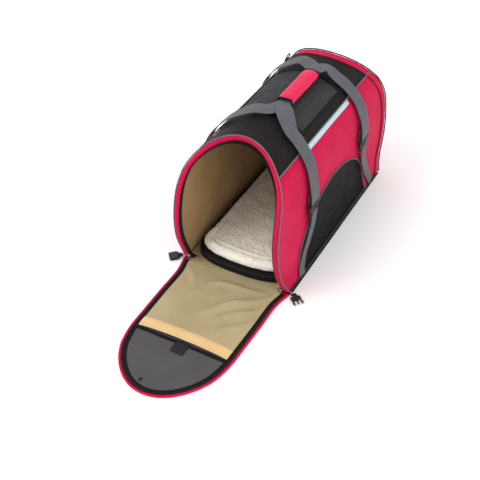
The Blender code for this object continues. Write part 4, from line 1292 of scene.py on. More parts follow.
@dataclass
class Rims:
    """Binding, zip tape, zip coil and piping round the ends, the roof seams and the base."""

    form: Outline
    finishes: Finishes
    band_width: float = 0.0110
    tape_width: float = 0.0115
    cord: float = 0.0014

    def ring(self, name: str, inner: float, width: float, thick: float, crown: float,
             back: float, start: float, finish: bpy.types.Material) -> bpy.types.Object:
        """Band round the front opening, facing forwards.

        Args:
            name: the piece's name.
            inner: distance of its outer edge from the skin, inwards.
            width: its width.
            thick: its thickness.
            crown: rise of its front face.
            back: how far its back stands behind the rim.
            start: run at which it starts on both sides.
            finish: its finish.

        Returns:
            The band.
        """
        path, out = self.form.rim_path(True, -inner - width / 2, back - thick / 2, start, 260)
        forward = np.zeros_like(path)
        forward[:, 1] = -1.0
        run = np.linspace(0, 1, len(path))
        puckers = 1 + 0.10 * np.sin(run * 260) + 0.08 * np.sin(run * 97 + 0.5)
        profile = flat_profile(width, thick, 0.9, 1.0, 8)
        flat = flat_profile(width, thick, 0.9, 0.0, 8)
        rise = (profile - flat) * crown * puckers[:, None, None] + flat
        return sweep(name, path, -out, forward, rise, finish)

    def build(self, run_of: RunOfPieces) -> None:
        """Build and dress the rims."""
        form, finishes = self.form, self.finishes
        attach(self.ring("front_rim_binding", 0.0, self.band_width, 0.0022, 0.0020, 0.0022,
                         0.0085, finishes.magenta), "bag", "magenta_nylon", "front_binding")
        path, out = self.tape_path()
        inward = np.zeros_like(path)
        inward[:, 1] = 1.0
        tape = sweep("front_zip_tape", path, inward, out,
                     flat_profile(self.tape_width, 0.0013, 0.9, 0.0, 6), finishes.tape)
        attach(tape, "bag", "black_nylon", "front_zipper_tape")
        coil = path - inward * (self.tape_width / 2 - 0.0024) - out * 0.0011
        attach(run_of.lay("front_zip_coil", [(coil, -out)], finishes.coil, 0.0015, 0.0012,
                          0.0034, 0.0016), "bag", "black_nylon")
        forward = np.array([[0.0, -1.0, 0.0]])
        path, out = form.rim_path(True, -self.band_width + 0.0018, -0.0010, 0.012, 260)
        attach(run_of.lay("binding_stitches", [(path, forward)], finishes.thread, 0.0036,
                          0.0026, 0.0007, 0.0006), "bag", "magenta_nylon")
        for name, front, shift, node, finish, slot in (
                ("front_rim_piping", True, 0.0012, "front_piping", finishes.piping,
                 "grey_piping"),
                ("rear_rim_piping", False, 0.0004, "rear_piping", finishes.black_piping,
                 "black_nylon")):
            path, out = form.rim_path(front, self.cord + 0.0004, shift, 0.0035, 300)
            attach(cord_along(name, path, self.cord + 0.0001, out, finish), "bag", slot, node)
        # black cord along the gusset's seam: partly a real seam cord, partly a painted shadow line
        # near the rear edge
        path, out = form.rim_path(False, 0.0010, 0.0245, 0.0035, 300)
        attach(cord_along("gusset_seam_shadow_cord", path, 0.0009, out, finishes.black_piping, 8),
               "bag", "black_nylon")
        z = form.seam_at * form.height
        for sign, side in ((1, "right"), (-1, "left")):
            run = form.seam if sign > 0 else form.total - form.seam
            ys = np.linspace(form.front(z) + 0.0035, form.rear(z) - 0.0030, 120)
            at = np.full(120, run)
            n = form.section(at)[1]
            out = outward(n)
            attach(cord_along(f"roof_seam_piping_{side}", form.place(at, ys, 0.0016),
                              self.cord + 0.0002, out, finishes.piping), "bag",
                   "grey_piping", f"roof_piping_{side}")
            x = sign * (form.widths[0][1] + self.cord + 0.0004)
            ys = np.linspace(-form.length / 2 + 0.004, form.length / 2 - 0.004, 120)
            path = np.stack([np.full(120, x), ys, np.full(120, self.cord + 0.0004)], -1)
            attach(cord_along(f"base_edge_piping_{side}", path, self.cord, np.array((0, 0, 1.0)),
                              finishes.black_piping), "bag", "black_nylon",
                   f"base_piping_{side}")
            heights = np.linspace(form.run_at_height(0.0036), form.run_at_height(0.0104), 5)
            ys = np.linspace(form.front(0.006) + 0.004, form.rear(0.006) - 0.026, 120)
            runs = (heights if sign > 0 else form.total - heights)[:, None].repeat(120, 1)
            ys = ys[None].repeat(5, 0)
            attach(slab(f"base_binding_{side}", form.place(runs, ys, 0.0016),
                        form.place(runs, ys, 0.0004), stack_grid(runs, ys),
                        finishes.black_piping), "bag", "black_nylon")

    def tape_path(self) -> tuple[Array, Array]:
        """Path of the front zip tape, which turns in over the floor at both feet."""
        form = self.form
        depth = self.band_width + 0.0009
        runs = np.linspace(0.024, form.total - 0.024, 240)
        p, n = form.section(runs)
        side = p - n * depth
        foot, tangent = side[0], side[0] - side[1]
        tangent /= np.linalg.norm(tangent)
        inward = np.array((-n[0][0], -n[0][1]))
        radius = foot[1] - 0.0072
        turn = [foot + radius * (math.sin(a) * tangent + (1 - math.cos(a)) * inward)
                for a in np.linspace(0, math.pi / 2, 14)[1:]]
        turn += [turn[-1] + inward * d for d in (0.005, 0.010, 0.015)]
        turn = np.array(turn)[::-1]
        left = turn[::-1] * np.array((-1, 1))
        line = np.vstack([turn, side, left])
        tangent = np.gradient(line, axis=0)
        tangent = unit(tangent)
        ys = form.front(line[:, 1]) + 0.0006 + self.tape_width / 2
        path = np.stack([line[:, 0], ys, line[:, 1]], -1)
        out = np.stack([tangent[:, 1], np.zeros(len(line)), -tangent[:, 0]], -1)
        return path, out


# ------------------------------------------------------------------ bed
@dataclass
class Bed:
    """Fleece bed over a black bolster base, its front bowed over the threshold."""

    finishes: Finishes
    front: float = -0.205
    rear: float = 0.246
    bow: float = 0.054
    fullness: float = 2.6
    side: float = 0.1160
    base_low: float = 0.0048
    base_high: float = 0.0228
    top: float = 0.0451
    border: float = 0.030
    swell_cap: float = 0.006
    voxel: float = 0.0055         # spacing of the even mesh that is blown up
    pressure: float = 4.0
    steps: int = 20

    def outline(self, count: int) -> tuple[Array, Array]:
        """Evenly spaced outline of the bed, and its outward directions.

        Args:
            count: number of points.

        Returns:
            Points and directions, both (count, 2), anticlockwise from the left front.
        """
        a = math.pi + np.linspace(0, math.pi, 160)
        c, s = np.cos(a), np.sin(a)
        power = 2 / self.fullness
        line = [np.stack([np.copysign(np.abs(c) ** power, c) * self.side,
                          self.front - np.abs(s) ** power * self.bow], -1)]
        r = 0.030
        for cx, a0 in ((self.side - r, 0.0), (r - self.side, 90.0)):
            t = np.radians(a0 + np.linspace(0, 90, 24))
            line.append(np.stack([cx + r * np.cos(t), self.rear - r + r * np.sin(t)], -1))
        line = np.vstack([*line, line[0][:1]])
        run = np.concatenate([[0.0], np.cumsum(np.hypot(*np.diff(line, axis=0).T))])
        at = np.linspace(0, run[-1], count + 1)[:-1]
        points = np.stack([np.interp(at, run, line[:, i]) for i in (0, 1)], -1)
        tangent = np.roll(points, -1, 0) - np.roll(points, 1, 0)
        tangent = unit(tangent)
        return points, np.stack([tangent[:, 1], -tangent[:, 0]], -1)

    def loft(self, name: str, profile: Array, count: int, rings: int,
             finish: bpy.types.Material) -> bpy.types.Object:
        """Loft a closed cushion: an edge profile round the outline, closed over the top.

        Args:
            name: the piece's name.
            profile: (P, 2) of inset and height, from the underside's edge to the top's rim.
            count: points round the outline.
            rings: rings from the top's rim to the spine.
            finish: its finish.

        Returns:
            The cushion.
        """
        points, out = self.outline(count)
        y0, y1 = self.front + 0.055, self.rear - 0.115
        layers = [np.column_stack([points - out * inset, np.full(count, z)])
                  for inset, z in profile]
        rim = layers[-1]
        spine = np.column_stack([np.zeros(count), np.clip(points[:, 1], y0, y1),
                                 np.full(count, profile[-1][1])])
        for k in range(1, rings):
            f = k / rings
            layers.append(rim + (spine - rim) * f)
        floor = layers[0]
        under = floor + (np.column_stack([spine[:, :2], floor[:, 2]]) - floor) * 0.5
        layers = [under] + layers
        verts = np.concatenate(layers)
        faces = []
        for i in range(len(layers) - 1):
            for j in range(count):
                m = (j + 1) % count
                faces.append((i * count + j, i * count + m, (i + 1) * count + m,
                              (i + 1) * count + j))
        faces.append(tuple(range(count))[::-1])
        last = (len(layers) - 1) * count
        faces.append(tuple(range(last, last + count)))
        corners = [[(verts[i][0], verts[i][1]) for i in face] for face in faces]
        return finish_mesh(name, verts, faces, corners, finish, 180.0)

    def inset_of(self, points: Array) -> Array:
        """Distance of some (x, y) places from the bed's outline, inwards."""
        edge = self.outline(360)[0]
        inset = np.full(len(points), 1.0)
        for k in range(0, 360, 2):
            delta = points - edge[k]
            inset = np.minimum(inset, np.hypot(delta[:, 0], delta[:, 1]))
        return inset

    def puff(self, piece: bpy.types.Object) -> bpy.types.Object:
        """Blow the cushion up as sewn cloth, with its movement capped, and leave it plain.

        Args:
            piece: the closed cushion, slightly smaller than it ends up.

        Returns:
            The swollen cushion.
        """
        name, material = piece.name, piece.data.materials[0]
        remesh = piece.modifiers.new("even", "REMESH")
        remesh.mode, remesh.voxel_size = "VOXEL", self.voxel
        piece.name = name + "_form"
        piece = bake(piece, name)
        rest = np.array([v.co for v in piece.data.vertices])
        scene = bpy.context.scene
        cloth = piece.modifiers.new("cloth", "CLOTH")
        cloth.settings.use_pressure = True
        cloth.settings.uniform_pressure_force = self.pressure
        cloth.settings.quality = 4
        cloth.settings.effector_weights.gravity = 0.0
        cloth.point_cache.frame_start, cloth.point_cache.frame_end = 1, self.steps
        for step in range(1, self.steps + 1):
            scene.frame_set(step)
        graph = bpy.context.evaluated_depsgraph_get()
        swollen = np.array([v.co for v in piece.evaluated_get(graph).data.vertices])
        piece.modifiers.remove(cloth)
        scene.frame_set(1)
        move = swollen - rest
        far = np.linalg.norm(move, axis=1, keepdims=True)
        move *= np.minimum(1.0, self.swell_cap / np.maximum(far, 1e-9))
        moved = rest + move
        moved[:, 2] = np.maximum(moved[:, 2], self.base_high + 0.0003)
        piece.data.vertices.foreach_set("co", moved.ravel())
        if not piece.data.materials:
            piece.data.materials.append(material)
        return piece

    def build_fleece(self) -> bpy.types.Object:
        """Fleece top: a rolled border round a lower, quilted-in middle, with curly pile."""
        low, top = self.base_high + 0.0003, self.top
        a = np.linspace(0, 1, 12)
        half = (top - low) / 2
        profile = np.stack([0.004 + 0.010 * (1 - np.sin(math.pi * a)) * (a > 0.5)
                            + 0.004 * (1 - np.sin(math.pi * a)) * (a <= 0.5),
                            low + half * (1 - np.cos(math.pi * a)) - 0.002 * a], -1)
        pad = self.loft("fleece_bed", profile, 420, 46, self.finishes.fleece)
        pad = self.puff(pad)
        finer = pad.modifiers.new("finer", "SUBSURF")
        finer.levels = finer.render_levels = 2
        pad.name = "fleece_coarse"
        pad = bake(pad, "fleece_bed")
        co = np.array([v.co for v in pad.data.vertices])
        normal = np.array([v.normal for v in pad.data.vertices])
        inset = self.inset_of(co[:, :2])
        up = np.clip((co[:, 2] - (low + 0.010)) / 0.006, 0, 1)
        roll = 0.0018 * np.exp(-((inset - self.border * 0.5) / 0.010) ** 2)
        seam = -0.0092 * np.exp(-((inset - self.border) / 0.0030) ** 2)
        sunk = -0.0042 * np.clip((inset - self.border) / 0.012, 0, 1)
        crown = 0.0030 * (1 - np.exp(-np.maximum(0, inset - self.border) / 0.035))
        soft = 0.0012 * ripple(co[:, 0], co[:, 1], 0.06, 61)
        pile = self.pile_height(co)
        side = np.clip((co[:, 2] - low) / 0.006, 0, 1)
        co[:, 2] += up * (roll + seam + sunk + crown + soft)
        co += normal * (pile * side)[:, None]
        co[:, 2] = np.maximum(co[:, 2], low)
        pad.data.vertices.foreach_set("co", co.ravel())
        pad.data.update()
        pad.data.shade_smooth()
        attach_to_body(pad, "pad")
        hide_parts("fleece_pad")
        LOG.info("fleece_bed: %d faces on pad", len(pad.data.polygons))
        return pad

    @staticmethod
    def pile_height(co: Array) -> Array:
        """Height of the curls of the pile: clumps a few millimetres across."""
        from_noise = np.empty(len(co))
        for i, (x, y, z) in enumerate(co):
            warp = noise.noise((x * 90, y * 90, z * 90))
            big = noise.noise((x * 150 + warp, y * 150 - warp, z * 150))
            small = noise.noise((x * 330 + 2 * warp, y * 330, z * 330 + warp))
            from_noise[i] = 0.0012 * big + 0.0011 * abs(small) + 0.0003 * warp
        return from_noise

    def build(self) -> None:
        """Build and dress the bed."""
        a = np.linspace(0, 1, 9)
        half = (self.base_high - self.base_low) / 2
        profile = np.stack([0.0015 - 0.0015 * np.sin(math.pi * a),
                            self.base_low + half * (1 - np.cos(math.pi * a))], -1)
        profile = np.vstack([[0.004, self.base_low], profile, [0.004, self.base_high]])
        base = self.loft("bolster_base", profile, 260, 3, self.finishes.black)
        attach(base, "pad", "black_nylon", "pad_base")
        for name, z in (("bed_edge_cord_low", self.base_low + 0.0022),
                        ("bed_edge_cord_high", self.base_high - 0.0014)):
            points, out = self.outline(320)
            path = np.column_stack([points + out * 0.0004, np.full(320, z)])
            face = np.column_stack([out, np.zeros(320)])
            tangent = np.roll(path, -1, 0) - np.roll(path, 1, 0)
            tangent = unit(tangent)
            attach(sweep(name, path, np.cross(tangent, face), face, round_profile(0.0015, 8),
                         self.finishes.black_piping, True), "pad", "black_nylon")
        self.build_fleece()


# ------------------------------------------------------------------ handles
class End(Enum):
    """The two ends of a carrying strap."""

    FRONT = -1
    REAR = 1


@dataclass
class Handles:
    """Webbing loops over the shoulders, their adjusters and the padded wrap."""

    form: Outline
    finishes: Finishes
    width: float = 0.0380
    thick: float = 0.0016
    lower_width: float = 0.0250
    lower_thick: float = 0.0014
    wrap_x: float = 0.022
    wrap_z: float = 0.3600
    wrap_front: float = -0.064
    wrap_rear: float = 0.066
    wrap_width: float = 0.0370
    wrap_height: float = 0.0190
    wrap_wall: float = 0.0030
    loop: float = 0.0036
    stand: float = 0.0135
    bar: float = 0.0017
    frame_long: float = 0.027

    def side_run(self, sign: int, z: float) -> float:
        """Run of a height on the right (+1) or the left (-1)."""
        run = self.form.run_at_height(z)
        return run if sign > 0 else self.form.total - run

    def on_skin(self, run: float, y: float, offset: float) -> tuple[Vector, Vector]:
        """Point of a strap off the skin, and the skin's outward direction."""
        at = np.array([run])
        n = self.form.section(at)[1][0]
        return (Vector(self.form.place(at, np.array([y]), offset)[0]),
                Vector((n[0], 0.0, n[1])))

    def leg(self, sign: int, end: End) -> list[tuple[float, float, float]]:
        """Run, y and offset of a strap from its adjuster up to the shoulder."""
        foot, shoulder = (-0.147, -0.142) if end is End.FRONT else (0.131, 0.126)
        e = end.value
        places = [(self.side_run(sign, 0.184), foot, self.stand),
                  (self.side_run(sign, 0.205), foot, self.stand),
                  (self.side_run(sign, 0.235), foot + 0.001, 0.0110),
                  (self.side_run(sign, 0.264), shoulder, 0.0095),
                  (self.side_run(sign, 0.288), shoulder - 0.003 * e, 0.0090)]
        for x, off in ((0.084, 0.0090), (0.062, 0.0110)):
            places.append((self.form.run_at_x(sign * x),
                           shoulder - e * (0.007 + 0.25 * (0.084 - x)), off))
        return places

    @staticmethod
    def stations(points: list[Vector], normals: list[Vector], per_span: int
                 ) -> tuple[Array, Array]:
        """Smooth path of a strap and its directions across.

        Args:
            points: places that it passes.
            normals: its face's direction at each.
            per_span: steps between neighbours.

        Returns:
            (N, 3) points and (N, 3) directions across the strap.
        """
        path = smooth(np.array([tuple(p) for p in points]), per_span)
        face = smooth(np.array([tuple(n) for n in normals]), per_span)
        tangent = np.empty_like(path)
        tangent[1:-1] = path[2:] - path[:-2]
        tangent[0], tangent[-1] = path[1] - path[0], path[-1] - path[-2]
        across = np.cross(tangent, face)
        return path, across / np.linalg.norm(across, axis=1, keepdims=True)

    def turn_back(self, end: Array, along: Array, normal: Array, tail: float) -> Array:
        """Points that take a strap round a bar and back behind itself.

        Args:
            end: the strap's last point before the bar.
            along: direction of travel there.
            normal: direction away from the wall.
            tail: length of the free end.

        Returns:
            (N, 3) points after the bar.
        """
        a = np.linspace(0, math.pi, 13)[1:, None]
        centre = end - normal * self.loop
        turn = centre + normal * self.loop * np.cos(a) + along * self.loop * np.sin(a)
        back = turn[-1] - along * np.linspace(0, tail, 9)[1:, None]
        return np.vstack([turn, back])

    def strap_half(self, sign: int, end: End, layer: float) -> tuple[Array, Array]:
        """Path and across directions of one half of a loop, from its tail to the wrap."""
        points, normals = [], []
        for run, y, off in self.leg(sign, end):
            p, n = self.on_skin(run, y, off)
            points.append(p)
            normals.append(n)
        legs = len(points)
        e = end.value
        reach = self.wrap_front if end is End.FRONT else self.wrap_rear
        for dx, dy, dz in ((0.019, 0.040, -0.002), (0.005, 0.021, 0.0), (0.0, 0.003, 0.0)):
            points.append(Vector((self.wrap_x + sign * dx, reach + e * dy, layer + dz)))
            normals.append(Vector((0, 0, 1)))
        if sign < 0:
            points.insert(legs, Vector((-0.028, reach + e * 0.052, layer - 0.002)))
            normals.insert(legs, Vector((-0.05, 0, 1)).normalized())
        path, across = self.stations(points, normals, 12)
        along = path[0] - path[1]
        along /= np.linalg.norm(along)
        normal = np.array(normals[0].normalized())
        tail = self.turn_back(path[0], along, normal, 0.026)[::-1]
        return (np.vstack([tail, path]),
                np.vstack([np.broadcast_to(across[0], tail.shape), across]))

    def strap_surface(self, name: str, path: Array, across: Array, width: float,
                      thick: float) -> bpy.types.Object:
        """Strap of webbing with rounded selvedges along a path."""
        for i in range(1, len(across)):
            if across[i] @ across[i - 1] < 0:
                across[i] = -across[i]
        tangent = np.gradient(path, axis=0)
        tangent = unit(tangent)
        across = across - tangent * (across * tangent).sum(1, keepdims=True)
        across = unit(across)
        out = np.cross(tangent, across)
        gap = np.maximum(self.wrap_front - path[:, 1], path[:, 1] - self.wrap_rear)
        gap = np.clip(np.maximum(gap, (0.340 - path[:, 2]) * 2) / 0.040, 0, 1)
        across *= (0.74 + 0.26 * gap * gap * (3 - 2 * gap))[:, None]
        profile = flat_profile(width, thick, 1.12, 0.0, 12)
        return sweep(name, path, across, out, profile, self.finishes.webbing)

    def build_strap(self, sign: int, side: str, layer: float, run_of: RunOfPieces) -> None:
        """One loop of webbing, with its sewn ends."""
        front, front_across = self.strap_half(sign, End.FRONT, layer)
        rear, rear_across = self.strap_half(sign, End.REAR, layer)
        path = np.vstack([front, rear[::-1]])
        across = np.vstack([front_across, rear_across[::-1]])
        strap = self.strap_surface(f"carrying_strap_{side}", path, across, self.width,
                                   self.thick)
        bend(strap, ("bag", "handle"), (0, 0, 0.235), (0, 0, 0.330), "grey_webbing",
             f"strap_{side}")
        lines = []
        for end in End:
            places = self.leg(sign, end)
            p, n = self.on_skin(places[0][0], places[0][1], self.stand + 0.0011)
            q, _ = self.on_skin(places[1][0], places[1][1], self.stand + 0.0011)
            up = (q - p).normalized()
            wide = up.cross(n).normalized()
            for lift in (0.008, 0.022):
                t = np.linspace(-0.0165, 0.0165, 24)
                base = np.array(p + up * lift)
                lines.append((base + np.array(wide) * t[:, None],
                              np.broadcast_to(np.array(n), (24, 3))))
        stitches = run_of.lay(f"strap_stitches_{side}", lines, self.finishes.grey_thread,
                              0.0030, 0.0022, 0.0007, 0.0006)
        attach(stitches, "bag", "grey_webbing")

    def adjuster_frame(self, sign: int, end: End) -> tuple[Vector, Vector, Vector, Vector]:
        """Bar centre, down, outward and across directions of an adjuster."""
        places = self.leg(sign, end)
        top, normal = self.on_skin(places[0][0], places[0][1], self.stand)
        ahead, _ = self.on_skin(places[1][0], places[0][1], self.stand)
        down = (top - ahead).normalized()
        return top - normal * self.loop, down, normal, down.cross(normal).normalized()

    def build_adjuster(self, sign: int, end: End, place_name: str) -> None:
        """Ladder-lock adjuster and the narrow webbing from it down to the base seam."""
        bar, down, normal, across = self.adjuster_frame(sign, end)
        part = Moulding()
        long, r = self.frame_long, self.bar
        for x in (-0.0221, 0.0221):
            part.block((x, 0.0028, 0.0), (0.0040, 0.0092, 0.0044), 0.0010)
        part.block((0, 0, 0), (0.0460, 2 * r, 2 * r), 0.0014)
        part.block((0, 0.0092, 0.0006), (0.0470, 0.0056, 0.0044), 0.0014)
        part.block((0, 0.0140, -0.0004), (0.0400, 0.0190, 0.0014), 0.0006)
        part.block((0, 0.0052, 0.0044), (0.0474, 0.0046, 0.0026), 0.0009)
        for x in (-0.0172, 0.0172):
            part.block((x, 0.0175, 0.0), (0.0050, 0.0190, 0.0040), 0.0012)
        part.block((0, 0.0160, 0.0012), (0.0330, 0.0022, 0.0030), 0.0008)
        part.block((0, long, 0), (0.0380, 2 * r, 2 * r), 0.0014)
        for x in np.linspace(-0.014, 0.014, 8):
            part.block((x, 0.0092, 0.0030), (0.0014, 0.0046, 0.0012), 0.0004)
        part.block((0, long + 0.0030, 0.0014), (0.0300, 0.0034, 0.0018), 0.0007)
        piece = part.finish(f"ladder_lock_{place_name}", self.finishes.plastic, bar, across, down)
        attach(piece, "bag", "buckle_plastic", f"adjuster_{place_name}")
        lower_top = bar + down * long + normal * self.loop
        points, normals = [lower_top], [normal]
        foot, reach = self.leg(sign, end)[0][1], end.value * 0.200
        for z, f, off in ((0.120, 0.10, 0.0105), (0.090, 0.36, 0.0085), (0.055, 0.68, 0.0064),
                          (0.026, 0.93, 0.0050), (0.0105, 1.0, 0.0045)):
            p, n = self.on_skin(self.side_run(sign, z), foot + (reach - foot) * f, off)
            points.append(p)
            normals.append(n)
        path, wide = self.stations(points, normals, 12)
        wide[0] = wide[1]
        tail = self.turn_back(path[0], np.array(-down), np.array(normal), 0.0130)[::-1]
        strap = self.strap_surface(
            f"side_webbing_{place_name}", np.vstack([tail, path]),
            np.vstack([np.broadcast_to(wide[0], tail.shape), wide]), self.lower_width,
            self.lower_thick)
        attach(strap, "bag", "grey_webbing", f"lower_strap_{place_name}")

    def build_wrap(self, run_of: RunOfPieces) -> None:
        """Padded wrap round both loops, with bound ends and a lengthwise closing seam."""
        a, h = self.wrap_width / 2, self.wrap_height / 2
        count, rows = 56, 72
        ang = 2 * math.pi * (np.arange(count) + 0.5) / count
        c, s = np.cos(ang)[None], np.sin(ang)[None]
        t = np.linspace(0, 1, rows)[:, None]
        ys = self.wrap_front + (self.wrap_rear - self.wrap_front) * t
        ends = tuck(np.minimum(t, 1 - t) * 0.13, 0.006)
        plump = 1.0 - 0.07 * ends + 0.02 * np.sin(t * 19 + 2 * c) + 0.015 * np.sin(t * 41 + 3 * s)
        crease = 0.0006 * np.exp(-((ys - 0.02 - 0.01 * c) / 0.003) ** 2)
        crease = crease + 0.0005 * np.exp(-((ys + 0.030 + 0.012 * s) / 0.003) ** 2)
        puff = (plump - 1) * h - crease
        x = self.wrap_x + (a + puff) * np.copysign(np.abs(c) ** 0.82, c) + 0 * t
        z = self.wrap_z + (h + puff + 0.0006 * (1 - ends)) * np.copysign(np.abs(s) ** 0.82, s)
        flap = 0.0007 * (c > 0.55) * (s < 0.55) * (1 - ends)
        outer = np.stack([x + flap, ys + 0 * x, z + 0 * x], -1)
        ai, hi = a - self.wrap_wall, h - self.wrap_wall
        inner = np.stack([self.wrap_x + ai * np.copysign(np.abs(c) ** 0.3, c) + 0 * t,
                          ys + 0 * c, self.wrap_z + hi * np.copysign(np.abs(s) ** 0.2, s)
                          + 0 * t], -1)
        ring = np.concatenate([[0.0], np.cumsum(np.linalg.norm(
            np.roll(outer[9], -1, 0) - outer[9], axis=1))])
        n = rows * count
        verts = np.concatenate([outer.reshape(-1, 3), inner.reshape(-1, 3)])
        faces, corners = [], []
        for i in range(rows - 1):
            for j in range(count):
                m = (j + 1) % count
                face = (i * count + j, i * count + m, (i + 1) * count + m, (i + 1) * count + j)
                uv = [(ring[j], ys[i, 0]), (ring[j + 1], ys[i, 0]),
                      (ring[j + 1], ys[i + 1, 0]), (ring[j], ys[i + 1, 0])]
                faces += [face, tuple(k + n for k in face[::-1])]
                corners += [uv, uv[::-1]]
        for i, turn in ((0, 1), (rows - 1, -1)):
            for j in range(count):
                m = (j + 1) % count
                face = (i * count + j, n + i * count + j, n + i * count + m, i * count + m)
                faces.append(face[::turn])
                corners.append([(ring[j], 0.0), (ring[j], 0.003), (ring[j + 1], 0.003),
                                (ring[j + 1], 0.0)][::turn])
        wrap = finish_mesh("padded_handle_wrap", verts, faces, corners, self.finishes.wrap, 70)
        attach(wrap, "handle", "magenta_nylon", "handle_wrap")
        bands = []
        for i in (0, rows - 1):
            loop = outer[i] * 0.35 + inner[i] * 0.65
            loop[:, 1] += -0.0022 if i == 0 else 0.0022
            centre = np.array((self.wrap_x, loop[0, 1], self.wrap_z))
            out = loop - centre
            out = unit(out)
            lengthwise = np.zeros_like(out)
            lengthwise[:, 1] = 1.0
            bands.append(sweep_data(loop, lengthwise, out,
                                    flat_profile(0.0080, self.wrap_wall * 0.8, 0.9, 0.0002,
                                                 4), True))
        attach(finish_mesh("wrap_end_bindings", *join_data(bands), self.finishes.tape),
               "handle", "black_nylon")
        line = np.array([(self.wrap_x + a * 0.62, y, self.wrap_z + h + 0.0006)
                         for y in np.linspace(self.wrap_front + 0.006, self.wrap_rear - 0.006,
                                              60)])
        attach(run_of.lay("wrap_stitches", [(line, np.array([[0, 0, 1.0]]))],
                          self.finishes.thread, 0.0032, 0.0023, 0.0007, 0.0006), "handle",
               "magenta_nylon")

    def build(self, run_of: RunOfPieces) -> None:
        """Build and dress the handles."""
        self.build_strap(1, "right", self.wrap_z + 0.0013, run_of)
        self.build_strap(-1, "left", self.wrap_z - 0.0013, run_of)
        for sign, side in ((1, "right"), (-1, "left")):
            self.build_adjuster(sign, End.FRONT, f"front_{side}")
            self.build_adjuster(sign, End.REAR, f"rear_{side}")
        self.build_wrap(run_of)


# ------------------------------------------------------------------ moulded and cast parts
class Moulding:
    """Gathers rounded blocks and round bars of one moulded part, then places it."""

    def __init__(self) -> None:
        """Start with nothing."""
        self.mesh = bmesh.new()

    def block(self, centre: Sequence[float], size: Sequence[float], round_off: float,
              turn_deg: float = 0.0) -> None:
        """Add a block with rounded edges.

        Args:
            centre: its middle.
            size: its three sides.
            round_off: radius of its edges.
            turn_deg: turn about its own upright axis.
        """
        part = bmesh.new()
        bmesh.ops.create_cube(part, size=1.0)
        bmesh.ops.scale(part, vec=Vector(size), verts=part.verts)
        bmesh.ops.bevel(part, geom=list(part.edges), offset=min(round_off, 0.45 * min(size)),
                        segments=2, affect="EDGES", profile=0.6)
        part.transform(Matrix.Translation(Vector(centre))
                       @ Matrix.Rotation(math.radians(turn_deg), 4, "Z"))
        self.take(part)

    def plate(self, outline: Sequence[tuple[float, float]], low: float, high: float,
              round_off: float) -> None:
        """Add a plate on an outline, with rounded edges.

        Args:
            outline: (x, y) corners, anticlockwise.
            low: its underside.
            high: its top.
            round_off: radius of its edges.
        """
        part = bmesh.new()
        a = [part.verts.new((x, y, low)) for x, y in outline]
        b = [part.verts.new((x, y, high)) for x, y in outline]
        part.faces.new(a[::-1])
        part.faces.new(b)
        for k in range(len(a)):
            m = (k + 1) % len(a)
            part.faces.new((a[k], a[m], b[m], b[k]))
        bmesh.ops.bevel(part, geom=list(part.edges), offset=round_off, segments=2,
                        affect="EDGES", profile=0.6)
        self.take(part)

    def tube(self, path: Sequence[Sequence[float]], radius: float, closed: bool = False,
             sides: int = 10) -> None:
        """Add a round bar along a path.

        Args:
            path: its points.
            radius: its radius.
            closed: whether it joins up with its start.
            sides: sides of its section.
        """
        line = np.asarray(path, float)
        if closed:
            tangent = np.roll(line, -1, 0) - np.roll(line, 1, 0)
        else:
            tangent = np.gradient(line, axis=0)
        tangent = unit(tangent)
        helper = np.array((0.0, 0.0, 1.0)) if abs(tangent[0, 2]) < 0.9 else np.array((1.0, 0, 0))
        across = np.cross(tangent, helper)
        across = unit(across)
        out = np.cross(across, tangent)
        verts, faces, _ = sweep_data(line, across, out, round_profile(radius, sides), closed)
        if signed_volume(verts, faces) < 0:
            faces = [face[::-1] for face in faces]
        part = bmesh.new()
        points = [part.verts.new(v) for v in verts]
        for face in faces:
            part.faces.new([points[i] for i in face])
        self.take(part)

    def take(self, part: bmesh.types.BMesh) -> None:
        """Add a finished bmesh and free it."""
        mesh = bpy.data.meshes.new("part")
        part.to_mesh(mesh)
        part.free()
        self.mesh.from_mesh(mesh)
        bpy.data.meshes.remove(mesh)

    def finish(self, name: str, material: bpy.types.Material, centre: Sequence[float],
               x_axis: Sequence[float], y_axis: Sequence[float]) -> bpy.types.Object:
        """Place the part and return it.

        Args:
            name: the piece's name.
            material: its finish.
            centre: where its own origin goes.
            x_axis: world direction of its x.
            y_axis: world direction of its y.

        Returns:
            The object.
        """
        x = Vector(x_axis).normalized()
        y = (Vector(y_axis) - x * x.dot(Vector(y_axis))).normalized()
        turn = Matrix((x, y, x.cross(y))).transposed().to_4x4()
        self.mesh.transform(Matrix.Translation(Vector(centre)) @ turn)
        mesh = bpy.data.meshes.new(name)
        self.mesh.to_mesh(mesh)
        self.mesh.free()
        mesh.materials.append(material)
        mesh.shade_smooth()
        mesh.set_sharp_from_angle(angle=math.radians(38))
        made = bpy.data.objects.new(name, mesh)
        to_scene(made)
        return made


